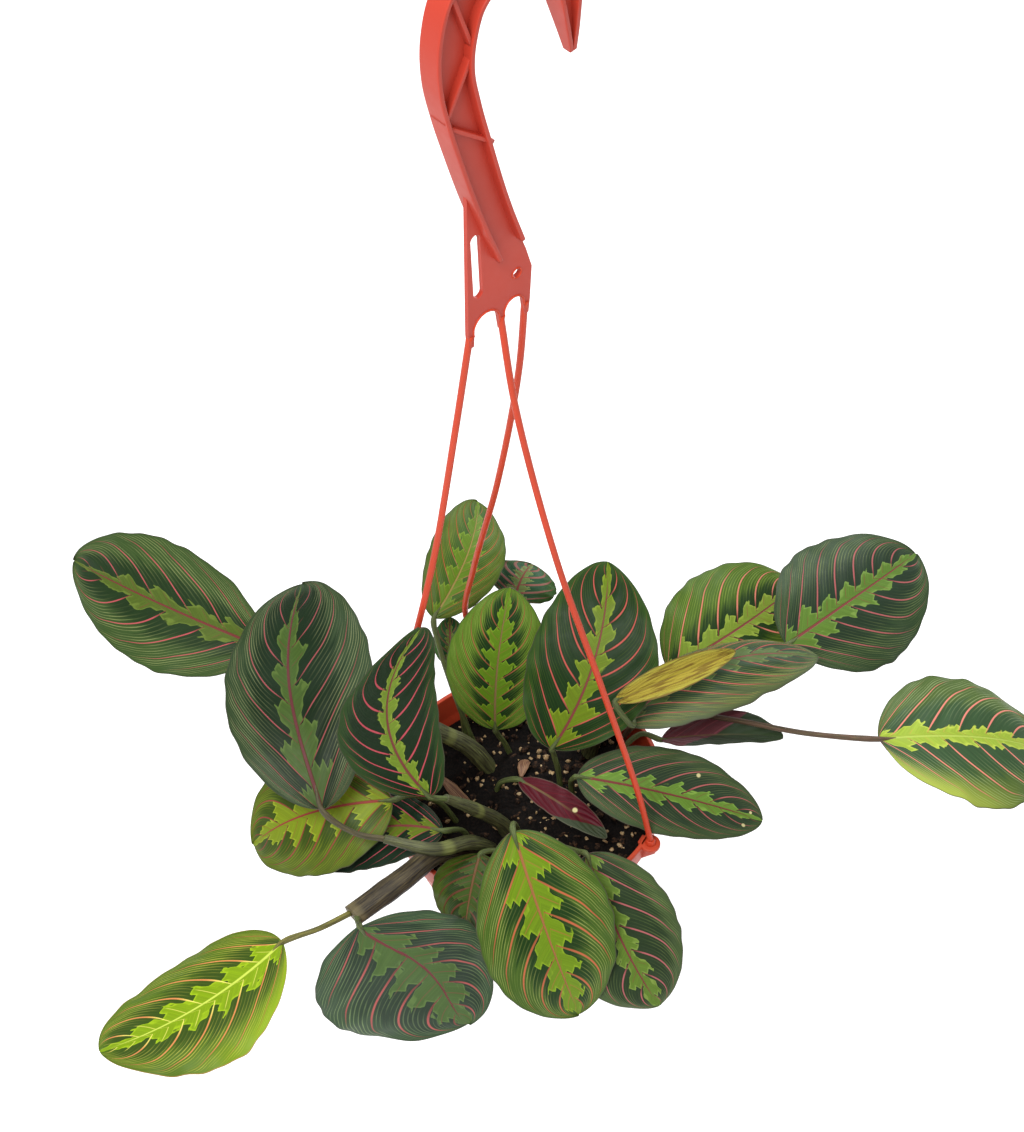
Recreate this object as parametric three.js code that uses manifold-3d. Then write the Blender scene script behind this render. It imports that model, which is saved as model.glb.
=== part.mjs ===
// Prayer plant in a plastic hanging pot.
// Millimetres, +Z up. Every point below is measured from the centre of the pot's foot. The finished part is
// moved down so that its origin is where the hook bears on what it hangs from.
import * as THREE from 'three';
import { mergeVertices } from 'three/addons/utils/BufferGeometryUtils.js';
import Module from 'manifold-3d';

const wasm = await Module();
wasm.setup();

const rad = THREE.MathUtils.degToRad;
const gap = 0.3; // clearance between pieces that touch

// ---- driving dimensions ----
const pot = {
  height: 100, rimRadius: 70, rimWidth: 2.4, bandHeight: 15, step: 1.6,
  footRadius: 45, wall: 1.8, recess: 3, floor: 2, sides: 32,
  drainCount: 6, drainRadius: 4, drainCircle: 27,
};
const ear = {
  azimuths: [-33, 97, 182], radius: 5, thick: 2.5, at: 72, hole: 1.9, gussetDrop: 14, gussetWidth: 5.5,
};
const soil = { below: 18, mound: 2 };
const hook = {
  azimuth: 40, depth: 10, wall: 2, web: 2, plateBottom: 424, legs: [-18, -2, 11], legWidth: 3.4,
  steps: 28, hollowEnd: 0.93,
};
const strand = { radius: 1.5, sides: 6, steps: 18, collar: 2.8, collarHeight: 2.4, pin: 1.5, pinLength: 4.5 };
const blade = { thick: 1.2, rows: 8, columns: 4, round: 0.55 };
const petioleRadius = 1.5;

// ---- colours ----
const material = (color, roughness) => new THREE.MeshStandardMaterial({ color, roughness, metalness: 0 });
const terracotta = material(0xc4573f, 0.45);
const soilBrown = material(0x17120f, 1);
const leafDark = material(0x24482b, 0.45);
const leafGreen = material(0x3f7a2c, 0.45);
const leafLime = material(0x7fae2b, 0.45);
const leafYellow = material(0xb9b54a, 0.6);
const leafPurple = material(0x5c2335, 0.55);
const sheathOlive = material(0x4c5330, 0.6);
const sheathBrown = material(0x3a3424, 0.65);
const sheathDry = material(0x9c7650, 0.8);

// ---- solids ----
function toSolid(geometry) {
  const bare = geometry.clone();
  bare.deleteAttribute('normal');
  bare.deleteAttribute('uv');
  const merged = mergeVertices(bare, 1e-4);
  return new wasm.Manifold(new wasm.Mesh({
    numProp: 3,
    vertProperties: new Float32Array(merged.attributes.position.array),
    triVerts: new Uint32Array(merged.index.array),
  }));
}

function toGeometry(solid) {
  const mesh = solid.getMesh();
  const geometry = new THREE.BufferGeometry();
  geometry.setAttribute('position', new THREE.BufferAttribute(mesh.vertProperties, 3));
  geometry.setIndex(new THREE.BufferAttribute(mesh.triVerts, 1));
  geometry.computeVertexNormals();
  return geometry;
}

const union = (solids) => solids.reduce((whole, piece) => whole.add(piece));
const vector = (point) => new THREE.Vector3(...point);
const smooth = (points) => new THREE.CatmullRomCurve3(points.map(vector), false, 'centripetal');

// A closed solid from rings of equal size, each ring going round the path, with flat ends.
function ringSolid(rings) {
  const count = rings[0].length;
  const points = rings.flat();
  const faces = [];
  for (let row = 0; row + 1 < rings.length; row += 1) {
    for (let k = 0; k < count; k += 1) {
      const a = row * count + k;
      const b = row * count + (k + 1) % count;
      faces.push(a, b, b + count, a, b + count, a + count);
    }
  }
  const last = (rings.length - 1) * count;
  for (let k = 1; k + 1 < count; k += 1) {
    faces.push(0, k + 1, k, last, last + k, last + k + 1);
  }
  const geometry = new THREE.BufferGeometry();
  geometry.setAttribute('position', new THREE.Float32BufferAttribute(points.flatMap((p) => p.toArray()), 3));
  geometry.setIndex(faces);
  return toSolid(geometry);
}

// A tube along a smooth curve through the points. Widths are [across, through] half sizes at the points,
// or one radius for all. The wide way of the section lies level.
function tubeSolid(points, widths, sides, steps, grow = 0) {
  const curve = smooth(points);
  const knots = points.map((_, i) => i / (points.length - 1));
  const pick = (t, index) => {
    if (typeof widths === 'number') return widths + grow;
    const place = Math.min(t, 0.99999) * (widths.length - 1);
    const low = Math.floor(place);
    const value = (i) => (typeof widths[i] === 'number' ? widths[i] : widths[i][index]);
    return THREE.MathUtils.lerp(value(low), value(low + 1), place - low) + grow;
  };
  const level = new THREE.Vector3(0, 0, 1);
  const rings = [];
  for (let i = 0; i <= steps; i += 1) {
    const t = i / steps;
    const centre = curve.getPoint(t);
    const along = curve.getTangent(t);
    if (i === 0) centre.addScaledVector(along, -grow);
    if (i === steps) centre.addScaledVector(along, grow);
    const across = new THREE.Vector3().crossVectors(along, level);
    if (across.length() < 0.05) across.set(1, 0, 0);
    across.normalize();
    const through = new THREE.Vector3().crossVectors(across, along).normalize();
    const ring = [];
    for (let k = 0; k < sides; k += 1) {
      const angle = (2 * Math.PI * k) / sides;
      ring.push(centre.clone()
        .addScaledVector(across, pick(t, 0) * Math.cos(angle))
        .addScaledVector(through, -pick(t, 1) * Math.sin(angle)));
    }
    rings.push(ring);
  }
  return ringSolid(rings);
}

// ---- pot ----
const polar = (radius, degrees, z) => [radius * Math.cos(rad(degrees)), radius * Math.sin(rad(degrees)), z];
const bandZ = pot.height - pot.bandHeight;
const bandFoot = pot.rimRadius - 1.4;
const wallTop = bandFoot - pot.step;
const innerWall = (z) => THREE.MathUtils.lerp(pot.footRadius, wallTop, z / bandZ) - pot.wall;

function lathe(profile) {
  const geometry = new THREE.LatheGeometry(profile.map(([r, z]) => new THREE.Vector2(r, z)), pot.sides);
  return geometry.rotateX(Math.PI / 2);
}

function potSolid() {
  const floorTop = pot.recess + pot.floor;
  const shell = toSolid(lathe([
    [0, pot.recess], [pot.footRadius - 8, pot.recess], [pot.footRadius - 7, 0],
    [pot.footRadius - 0.8, 0], [pot.footRadius, 1],
    [wallTop, bandZ], [bandFoot, bandZ + 1], [pot.rimRadius, pot.height - 1],
    [pot.rimRadius - 0.5, pot.height], [pot.rimRadius - pot.rimWidth, pot.height], [bandFoot - 2, bandZ],
    [innerWall(floorTop), floorTop], [0, floorTop],
  ]));
  const holes = [];
  for (let i = 0; i < pot.drainCount; i += 1) {
    const place = polar(pot.drainCircle, (360 * i) / pot.drainCount, pot.recess);
    const hole = new THREE.CylinderGeometry(pot.drainRadius, pot.drainRadius, 10, 12).rotateX(Math.PI / 2);
    holes.push(toSolid(hole.translate(...place)));
  }
  const ears = ear.azimuths.map(earSolid);
  const pins = ear.azimuths.map((azimuth) => {
    const hole = new THREE.CylinderGeometry(ear.hole, ear.hole, 12, 10).rotateX(Math.PI / 2);
    return toSolid(hole.translate(...polar(ear.at, azimuth, pot.height)));
  });
  return union([shell, ...ears]).subtract(union([...holes, ...pins]));
}

// A round ear on the rim with a wedge under it, which takes the foot of one strand.
function earSolid(azimuth) {
  const disc = new THREE.CylinderGeometry(ear.radius, ear.radius, ear.thick, 16).rotateX(Math.PI / 2);
  disc.translate(ear.at, 0, pot.height - ear.thick / 2);
  const inner = pot.rimRadius - 1.9;
  const outer = ear.at + ear.radius - 0.8;
  const side = new THREE.Shape([
    new THREE.Vector2(inner, -0.5), new THREE.Vector2(outer, -0.5),
    new THREE.Vector2(outer, -ear.thick), new THREE.Vector2(inner, -ear.gussetDrop),
  ]);
  const wedge = new THREE.ExtrudeGeometry(side, { depth: ear.gussetWidth, bevelEnabled: false });
  wedge.rotateX(Math.PI / 2).translate(0, ear.gussetWidth / 2, pot.height);
  const turn = (geometry) => toSolid(geometry.rotateZ(rad(azimuth)));
  return turn(disc).add(turn(wedge));
}

function soilSolid(rooted) {
  const floorTop = pot.recess + pot.floor;
  const top = pot.height - soil.below;
  const bulk = toSolid(lathe([
    [0, floorTop + gap], [innerWall(floorTop) - gap - 0.2, floorTop + gap],
    [innerWall(top) - gap - 0.2, top], [innerWall(top) - 12, top + soil.mound], [0, top + soil.mound],
  ]));
  return bulk.subtract(union(rooted));
}

// ---- hanger ----
const hookCos = Math.cos(rad(hook.azimuth));
const hookSin = Math.sin(rad(hook.azimuth));
const onPlate = (s, z) => [s * hookCos, s * hookSin, z];

// Where the hook bears on what it hangs from: the top of its inside.
const bearing = onPlate(10.5, 583.4);

// Centre line of the hook's channel and its half width, from the plate up and over to the tip.
const channel = [
  [1.6, 461, 7.1], [-4, 479, 7.3], [-8.2, 494, 7.6], [-14, 518, 8], [-18, 536, 8.2], [-20.5, 553, 8.4],
  [-19, 568, 9.1], [-13.4, 581.5, 9.6], [0, 591.5, 10], [16, 592.5, 9.5], [28, 582.5, 8], [32.8, 568, 6],
  [34.6, 555, 4.5], [36, 544, 3.1], [37, 534, 1.7],
];

// Braces across the channel, each from flange to flange.
const braces = [
  [[-25, 534], [-4.5, 516.5]], [[-26, 536], [-11.5, 560]], [[-11.5, 561], [-21, 591]], [[-8, 600], [6, 583]],
  [[27, 600], [24, 574]], [[25, 573], [41, 571]],
];

// Outline of the channel moved in by the inset. The part where the tip is too narrow for the inset is left
// off, and an inset outline starts a little lower, so that the channel is open at its foot.
function channelOutline(inset) {
  const middle = smooth(channel.map(([s, z]) => [s, z, 0]));
  const width = smooth(channel.map(([, , half], i) => [i, half, 0]));
  const end = inset > 1 ? hook.hollowEnd : 1;
  const left = [];
  const right = [];
  for (let i = 0; i <= hook.steps; i += 1) {
    const t = (end * i) / hook.steps;
    const along = middle.getTangent(t);
    const centre = middle.getPoint(t).addScaledVector(along, i === 0 ? -inset : 0);
    const half = width.getPoint(t).y - inset;
    left.push(new THREE.Vector2(centre.x - along.y * half, centre.y + along.x * half));
    right.push(new THREE.Vector2(centre.x + along.y * half, centre.y - along.x * half));
  }
  return new THREE.Shape([...right, ...left.reverse()]);
}

// Stands an outline drawn in (along the plate, up) upright on the hook's azimuth, centred through its depth.
function uprightSolid(shape, depth, offset = 0) {
  const geometry = new THREE.ExtrudeGeometry(shape, { depth, bevelEnabled: false, curveSegments: 6 });
  geometry.translate(0, 0, -depth / 2 - offset).rotateX(Math.PI / 2).rotateZ(rad(hook.azimuth));
  return toSolid(geometry);
}

function barOutline([s0, z0], [s1, z1], width) {
  const along = new THREE.Vector2(s1 - s0, z1 - z0).normalize();
  const side = new THREE.Vector2(-along.y, along.x).multiplyScalar(width / 2);
  const corner = (s, z, sign) => new THREE.Vector2(s + sign * side.x, z + sign * side.y);
  return new THREE.Shape([corner(s0, z0, -1), corner(s1, z1, -1), corner(s1, z1, 1), corner(s0, z0, 1)]);
}

function plateSolid() {
  const [left, middle, right] = hook.legs;
  const half = hook.legWidth / 2;
  const bottom = hook.plateBottom;
  const shape = new THREE.Shape();
  shape.moveTo(left - half, bottom);
  for (const [from, to] of [[left, middle], [middle, right]]) {
    shape.lineTo(from + half, bottom);
    shape.absarc((from + to) / 2, bottom + 3, (to - from) / 2 - half, Math.PI, 0, true);
    shape.lineTo(to - half, bottom);
  }
  shape.lineTo(right + half, bottom);
  shape.lineTo(14.4, 443);
  shape.lineTo(11.4, 456);
  shape.lineTo(-9, 504);
  shape.lineTo(-15.5, 500);
  const slot = new THREE.Path();
  slot.absarc(-13.4, 473, 2.4, 0, Math.PI, false);
  slot.absarc(-13.4, 446, 2.4, Math.PI, 2 * Math.PI, false);
  const hole = new THREE.Path();
  hole.absarc(6.5, 444, 2.1, 0, 2 * Math.PI, false);
  shape.holes.push(slot, hole);
  return uprightSolid(shape, hook.web);
}

// Middle points of each strand between its leg on the plate and its ear on the rim.
const strandRoutes = [
  [[3, -6, 378], [18, -14, 290], [37, -22, 208], [55, -32, 130]],
  [[5, 12, 382], [-6, 27, 299], [-20, 47, 215], [-26, 62, 160], [-18, 70, 124]],
  [[-22, -12, 374], [-35, -12, 296], [-45, -16, 252], [-60, -11, 185], [-70, -4, 132]],
];
const strandLegs = [hook.legs[1], hook.legs[2], hook.legs[0]];

function strandSolid(index) {
  const start = onPlate(strandLegs[index], hook.plateBottom + 2);
  const foot = polar(ear.at, ear.azimuths[index], pot.height + gap);
  const end = [foot[0], foot[1], foot[2] + strand.collarHeight - 0.5];
  const cord = tubeSolid([start, ...strandRoutes[index], end], strand.radius, strand.sides, strand.steps);
  const collar = new THREE.CylinderGeometry(strand.collar - 0.8, strand.collar, strand.collarHeight, 10);
  collar.rotateX(Math.PI / 2).translate(foot[0], foot[1], foot[2] + strand.collarHeight / 2);
  const pin = new THREE.CylinderGeometry(strand.pin, strand.pin, strand.pinLength + 1, 6);
  pin.rotateX(Math.PI / 2).translate(foot[0], foot[1], foot[2] - strand.pinLength / 2 + 0.5);
  return union([cord, toSolid(collar), toSolid(pin)]);
}

function hangerSolid() {
  const flanges = uprightSolid(channelOutline(0), hook.depth)
    .subtract(uprightSolid(channelOutline(hook.wall), hook.depth + 2));
  const web = uprightSolid(channelOutline(0.5), hook.web);
  const crossings = braces.map(([from, to]) => uprightSolid(barOutline(from, to, 1.8), hook.depth - 2)
    .intersect(uprightSolid(channelOutline(0.6), hook.depth)));
  return union([flanges, web, plateSolid(), ...crossings, ...ear.azimuths.map((_, i) => strandSolid(i))]);
}

// ---- leaves ----
// Each leaf: base and tip of the blade, its full width, the roll about the line from base to tip (positive
// raises the left edge), how far the midrib bows up and sweeps left, the fold along the midrib and the droop
// of the edges, and the petiole's points from where it is rooted.
const leaves = {
  leaf_far_left: {
    look: leafDark, base: [-130, 62, 142], tip: [-233, 128, 140], width: 67, roll: -48, bow: 12, sweep: -2,
    fold: 0.1, droop: 0, petiole: [[-56, 29.5, 120.5], [-90, 44, 138]], carrier: 'stem_back_left',
  },
  leaf_left_large: {
    look: leafDark, base: [-99, -36, 138], tip: [-110, 92, 155], width: 76, roll: -12, bow: 18, sweep: 1.5,
    fold: 0.12, droop: 0.1, petiole: [[-69, -44.3, 122], [-84, -43, 127]], carrier: 'stem_left_middle',
  },
  leaf_centre_left: {
    look: leafDark, base: [-46.5, -37.5, 147.5], tip: [-43.5, -25, 261], width: 50, roll: 35, bow: -6,
    sweep: 16.5, fold: 0.12, droop: 0.1, petiole: [[-38.5, -33.3, 138], [-43, -36, 143]],
    carrier: 'stem_left_upper',
  },
  leaf_back_left: {
    look: leafGreen, base: [-42, 61, 161], tip: [-18, 128, 172], width: 39, roll: 20, bow: 10, sweep: -4,
    fold: 0.12, droop: 0.1, petiole: [[-24, 36, 77], [-32, 42, 110], [-41, 56, 148]],
  },
  leaf_back_small: {
    look: leafDark, base: [-35, 55, 128], tip: [-35, 76, 142], width: 18, roll: 0, bow: 2, sweep: 0,
    fold: 0.1, droop: 0.1, petiole: [[-30, 44, 77], [-32, 48, 108]],
  },
  leaf_back: {
    look: leafDark, base: [-1, 91, 135], tip: [9, 108, 143], width: 40, roll: 0, bow: 5, sweep: 0,
    fold: 0.1, droop: 0.2, petiole: [[-2, 46, 77], [-3, 60, 108], [-4, 80, 128]],
  },
  leaf_centre: {
    look: leafGreen, base: [-14, 27, 110], tip: [-3, 61, 182], width: 52, roll: 10, bow: 6, sweep: 2,
    fold: 0.14, droop: 0.2, petiole: [[-6, 31, 77], [-10, 30, 94], [-13, 28, 104]],
  },
  leaf_centre_right: {
    look: leafDark, base: [14, -1, 130], tip: [46, 66, 192], width: 64, roll: 5, bow: 10, sweep: -9,
    fold: 0.12, droop: 0.1, petiole: [[18, 5, 77], [17, 3, 104], [14.5, 0, 125]],
  },
  leaf_back_right: {
    look: leafGreen, base: [75, 38, 138], tip: [148, 103, 122], width: 71, roll: 22, bow: 7, sweep: -3,
    fold: 0.1, droop: 0.2, petiole: [[56.5, 36, 131], [67, 37, 136]], carrier: 'stem_back_right',
  },
  leaf_far_right: {
    look: leafDark, base: [134, 42, 149.5], tip: [211, 110, 134.5], width: 74, roll: 20, bow: 5, sweep: -1,
    fold: 0.1, droop: 0.3, petiole: [[57.5, 32, 131], [82, 29, 137], [114, 37, 142.5]],
    carrier: 'stem_back_right',
  },
  leaf_right_folded: {
    look: leafDark, base: [51, 6, 139], tip: [148, 29, 155], width: 46, roll: -10, bow: 16, sweep: 3,
    fold: 0.1, droop: 0.55, petiole: [[45.2, 16.5, 128], [47.4, 12, 134.5]], carrier: 'stem_right',
  },
  leaf_yellow_rolled: {
    look: leafYellow, base: [45, -3, 170], tip: [105, 20, 175], width: 15, roll: 30, bow: 2, sweep: 0,
    fold: 0.5, droop: 0, petiole: [[54, 7.6, 145.2], [54, -3, 150], [51, -8, 159]],
    carrier: 'leaf_right_folded',
  },
  leaf_right_front: {
    look: leafDark, base: [26, -6, 112], tip: [118, -23.5, 91], width: 47, roll: 12, bow: 4, sweep: 0.5,
    fold: 0.15, droop: 0, petiole: [[25, 1, 77], [23, -1, 98], [24, -5, 109]],
  },
  leaf_right_low: {
    look: leafPurple, base: [70, 14, 112], tip: [130, 6, 121], width: 32, roll: -20, bow: 2, sweep: 0,
    fold: 0.3, droop: 0, petiole: [[42, 8, 77], [47, 14, 98], [60, 19, 111]],
  },
  leaf_out_right: {
    look: leafGreen, base: [175, -8, 135], tip: [266, 5, 98], width: 78, roll: 3, bow: 12, sweep: -3,
    fold: 0.1, droop: 0.2,
    petiole: [[46, 26, 77], [56, 27, 106], [76, 24, 121], [104, 14, 127], [140, -1, 133]],
  },
  leaf_out_left: {
    look: leafLime, base: [-120, -89, 105], tip: [-206, -135, 91], width: 64, roll: 4, bow: 3, sweep: 9,
    fold: 0.1, droop: 0.3, petiole: [[-87, -77.5, 110], [-102, -84, 108]], carrier: 'stem_front_left',
  },
  leaf_front_left: {
    look: leafDark, base: [-81, -94, 124], tip: [-34, -103, 42], width: 88, roll: 66, bow: 0, sweep: -6,
    fold: 0.1, droop: 0.2, petiole: [[-84, -80, 110], [-82.5, -88, 118]], carrier: 'stem_front_left',
  },
  leaf_front: {
    look: leafLime, base: [-7, -56, 141], tip: [21, -108, 56], width: 67, roll: 8, bow: 11, sweep: -3,
    fold: 0.1, droop: 0, petiole: [[-3, -27, 77], [-5, -33, 108], [-7, -47, 134]],
  },
  leaf_front_right: {
    look: leafDark, base: [28, -54, 115], tip: [61, -101, 48], width: 60, roll: 20, bow: 8, sweep: -3,
    fold: 0.1, droop: 0.15, petiole: [[12, -30, 77], [15, -38, 98], [24, -50, 112]],
  },
  leaf_front_low: {
    look: leafGreen, base: [-24, -43, 102.6], tip: [-33, -84, 96.2], width: 38, roll: -8, bow: 4, sweep: -1,
    fold: 0.05, droop: 0, petiole: [[-8, -36, 77], [-14, -37, 95]],
  },
  leaf_left_lime: {
    look: leafLime, base: [-66, -21, 121], tip: [-139, -19, 84], width: 62, roll: -32, bow: 12, sweep: -5,
    fold: 0.1, droop: 0.2, petiole: [[-34, -10, 77], [-44, -12, 104], [-58, -18, 120]],
  },
  leaf_left_low: {
    look: leafDark, base: [-42, -35, 113], tip: [-108, -28, 77.5], width: 42, roll: -4, bow: 8, sweep: -6,
    fold: 0.1, droop: 0.2, petiole: [[-28, -22, 77], [-33, -28, 102]],
  },
  leaf_underside: {
    look: leafPurple, base: [-3, 2, 100], tip: [39, -34, 98], width: 17, roll: 0, bow: 3, sweep: 0,
    fold: 0.1, droop: 0, petiole: [[-16, 8, 77], [-12, 6, 93]],
  },
};

// Stems with their sheaths: points and half sizes, the first point below the soil's surface.
const stems = {
  stem_left_upper: {
    look: sheathOlive, points: [[-8, -17, 77], [-14, -20, 96], [-28, -28, 122], [-39, -33.5, 139]],
    widths: [4.5, [4.5, 3.5], [3.8, 3], 2],
  },
  stem_left_middle: {
    look: sheathOlive, points: [[-16, -27, 77], [-28, -38, 106], [-46, -49, 118.5], [-70, -44, 122]],
    widths: [4, [4, 3.2], [3.4, 3], 2],
  },
  stem_front_left: {
    look: sheathBrown,
    points: [[-24, -32, 77], [-35, -38, 98], [-47, -47, 109], [-62, -60, 110], [-86, -79, 110]],
    widths: [4, [4.5, 4], [5, 4.5], [6, 4.5], [6, 3.5]],
  },
  stem_back_left: {
    look: sheathOlive, points: [[-16, 22, 77], [-28, 25, 98], [-43, 26, 112], [-57, 29.5, 121]],
    widths: [4.5, [5, 4], [4.5, 3.5], 2.2],
  },
  stem_right: {
    look: sheathOlive, points: [[33, 30, 77], [38, 25, 105], [43, 17.5, 130]],
    widths: [4.5, [4, 3], 2],
  },
  stem_back_right: {
    look: sheathOlive, points: [[36, 40, 77], [46, 38, 108], [57, 34, 133]],
    widths: [4.5, [4, 3], 2.4],
  },
  dry_sheath_left: {
    look: sheathDry, points: [[-26, -7, 77], [-31, -2, 86], [-38, 4, 93], [-44, 10, 96]],
    widths: [2.5, [3.4, 1.2], [3, 1], 0.8],
  },
  dry_sheath_back: {
    look: sheathDry, points: [[1, 28, 77], [0, 22, 86], [-1, 15, 91], [-2, 9, 92]],
    widths: [2.5, [3, 1.2], [2.6, 1], 0.8],
  },
};

// Half width of a blade at u along it, as a share of the widest: a rounded oval with blunt ends.
const bladeShape = (u) => Math.sin(Math.PI * u ** 0.92) ** blade.round;

function bladeFrame(leaf) {
  const base = vector(leaf.base);
  const chord = vector(leaf.tip).sub(base);
  const length = chord.length();
  const along = chord.clone().normalize();
  const level = new THREE.Vector3(0, 0, 1).cross(along).normalize();
  const upright = new THREE.Vector3().crossVectors(along, level);
  const turn = rad(leaf.roll);
  const left = level.clone().multiplyScalar(Math.cos(turn)).addScaledVector(upright, Math.sin(turn));
  const normal = upright.clone().multiplyScalar(Math.cos(turn)).addScaledVector(level, -Math.sin(turn));
  return { base, length, along, left, normal };
}

// Point on the middle surface of a blade: u from base to tip, v from right edge (-1) to left edge (+1).
function bladePoint(leaf, frame, u, v) {
  const half = (leaf.width / 2) * bladeShape(u);
  const s = v * half;
  const arc = 4 * u * (1 - u);
  const lift = leaf.bow * arc + leaf.fold * Math.abs(s) - leaf.droop * s * s / (leaf.width / 2);
  return frame.base.clone()
    .addScaledVector(frame.along, frame.length * u)
    .addScaledVector(frame.left, s + leaf.sweep * arc)
    .addScaledVector(frame.normal, lift);
}

// Rows lie closer together toward the blade's two ends, where the outline turns most.
const rowPlace = (i) => 0.5 - 0.5 * Math.cos((Math.PI * i) / blade.rows);

function bladeSolid(leaf, grow = 0) {
  const frame = bladeFrame(leaf);
  const { rows, columns, thick } = blade;
  const points = [];
  for (const side of [1, -1]) {
    const shift = frame.normal.clone().multiplyScalar(side * (thick / 2 + grow));
    points.push(bladePoint(leaf, frame, 0, 0).add(shift));
    for (let i = 1; i < rows; i += 1) {
      for (let j = 0; j <= columns; j += 1) {
        points.push(bladePoint(leaf, frame, rowPlace(i), (2 * j) / columns - 1).add(shift));
      }
    }
    points.push(bladePoint(leaf, frame, 1, 0).add(shift));
  }
  const size = points.length / 2;
  const inRow = (i, j) => (i === rows ? size - 1 : 1 + (i - 1) * (columns + 1) + j);
  const at = (side, i, j) => side * size + (i === 0 ? 0 : inRow(i, j));
  const faces = [];
  const triangle = (a, b, c) => { if (a !== b && b !== c && a !== c) faces.push(a, b, c); };
  for (let i = 0; i < rows; i += 1) {
    for (let j = 0; j < columns; j += 1) {
      for (const side of [0, 1]) {
        const quad = [at(side, i, j), at(side, i + 1, j), at(side, i + 1, j + 1), at(side, i, j + 1)];
        const [a, b, c, d] = side === 0 ? quad : quad.reverse();
        triangle(a, b, c);
        triangle(a, c, d);
      }
    }
    for (const [j, flip] of [[0, false], [columns, true]]) {
      const quad = [at(0, i, j), at(1, i, j), at(1, i + 1, j), at(0, i + 1, j)];
      const [a, b, c, d] = flip ? quad.reverse() : quad;
      triangle(a, b, c);
      triangle(a, c, d);
    }
  }
  const geometry = new THREE.BufferGeometry();
  geometry.setAttribute('position', new THREE.Float32BufferAttribute(points.flatMap((p) => p.toArray()), 3));
  geometry.setIndex(faces);
  return toSolid(geometry);
}

// The petiole follows its points and ends a little inside the blade.
function petioleSolid(leaf, grow = 0) {
  const frame = bladeFrame(leaf);
  const inside = bladePoint(leaf, frame, 0.1, 0);
  const points = [...leaf.petiole, leaf.base, inside.toArray()];
  const widths = points.map((_, i) => (i === points.length - 1 ? 0.9 : petioleRadius));
  return tubeSolid(points, widths, 6, 2 * points.length, grow);
}

// ---- assembly ----
const plant = new THREE.Group();

function addNode(name, solid, look) {
  const mesh = new THREE.Mesh(toGeometry(solid.translate(bearing.map((value) => -value))), look);
  mesh.name = name;
  plant.add(mesh);
}

const stemSolid = (stem, grow = 0) => tubeSolid(stem.points, stem.widths, 8, 7, grow);
// The stem or leaf that carries another leaf, thickened by the clearance between them.
function carrierSolid(name) {
  if (stems[name]) return stemSolid(stems[name], gap);
  return bladeSolid(leaves[name], gap).add(petioleSolid(leaves[name], gap));
}

// Drops the slivers that a cut may leave on the far side of a carrier.
const largest = (solid) => solid.decompose().reduce((a, b) => (a.volume() > b.volume() ? a : b));
const isRooted = (points) => points[0][2] < pot.height - soil.below;

addNode('pot', potSolid(), terracotta);
addNode('soil', soilSolid([
  ...Object.values(stems).map((stem) => stemSolid(stem, gap)),
  ...Object.values(leaves).filter((leaf) => isRooted(leaf.petiole)).map((leaf) => petioleSolid(leaf, gap)),
]), soilBrown);
addNode('hanger', hangerSolid(), terracotta);
for (const [name, stem] of Object.entries(stems)) addNode(name, stemSolid(stem), stem.look);
for (const [name, leaf] of Object.entries(leaves)) {
  const whole = bladeSolid(leaf).add(petioleSolid(leaf));
  addNode(name, leaf.carrier ? largest(whole.subtract(carrierSolid(leaf.carrier))) : whole, leaf.look);
}

export default plant;
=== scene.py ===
# The looks of the potted prayer plant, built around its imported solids.
import math
from types import SimpleNamespace

import bpy
import numpy as np
from mathutils import Matrix, Vector


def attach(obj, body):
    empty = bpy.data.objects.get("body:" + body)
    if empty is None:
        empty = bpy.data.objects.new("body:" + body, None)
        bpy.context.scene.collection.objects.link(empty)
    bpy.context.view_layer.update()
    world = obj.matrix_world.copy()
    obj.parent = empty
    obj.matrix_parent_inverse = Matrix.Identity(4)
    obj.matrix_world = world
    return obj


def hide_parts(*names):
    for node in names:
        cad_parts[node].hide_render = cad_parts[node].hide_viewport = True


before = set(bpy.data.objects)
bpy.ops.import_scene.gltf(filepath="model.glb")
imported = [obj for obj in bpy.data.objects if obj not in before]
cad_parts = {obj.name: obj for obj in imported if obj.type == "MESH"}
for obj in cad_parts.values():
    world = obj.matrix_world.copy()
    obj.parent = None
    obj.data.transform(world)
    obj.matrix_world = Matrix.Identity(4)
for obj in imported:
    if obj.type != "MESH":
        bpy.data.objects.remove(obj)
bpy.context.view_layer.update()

# Lengths are in mm from the centre of the pot's foot, as in the solids. The frame's origin is at the hook.
rng = np.random.default_rng(7)
upward = np.array([0, 0, 1])


# The directions out from the pot's middle and sideways at an angle in degrees.
def outwardAt(degrees):
    angle = math.radians(degrees)
    return np.array([math.cos(angle), math.sin(angle), 0]), np.array([-math.sin(angle), math.cos(angle), 0])


# The hook's plate stands at hookAngle degrees. The hook bears on the inside of its arch, this far out and up.
hookAngle, bearingOut, bearingUp = 40, 10.5, 583.4
plateAlong, plateNormal = outwardAt(hookAngle)
bearing = plateAlong * bearingOut + upward * bearingUp


# From mm at the pot's foot to metres in the frame: less the hook's bearing point, over 1000.
def toWorld(points):
    return (np.asarray(points, float) - bearing) / 1000


# Each vector over its own length.
def unit(vectors):
    return vectors / np.maximum(np.linalg.norm(vectors, axis=-1, keepdims=True), 1e-9)


# Angles spread evenly round a circle, without its end.
def turns(count):
    return np.linspace(0, 2 * np.pi, count, endpoint=False)


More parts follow.
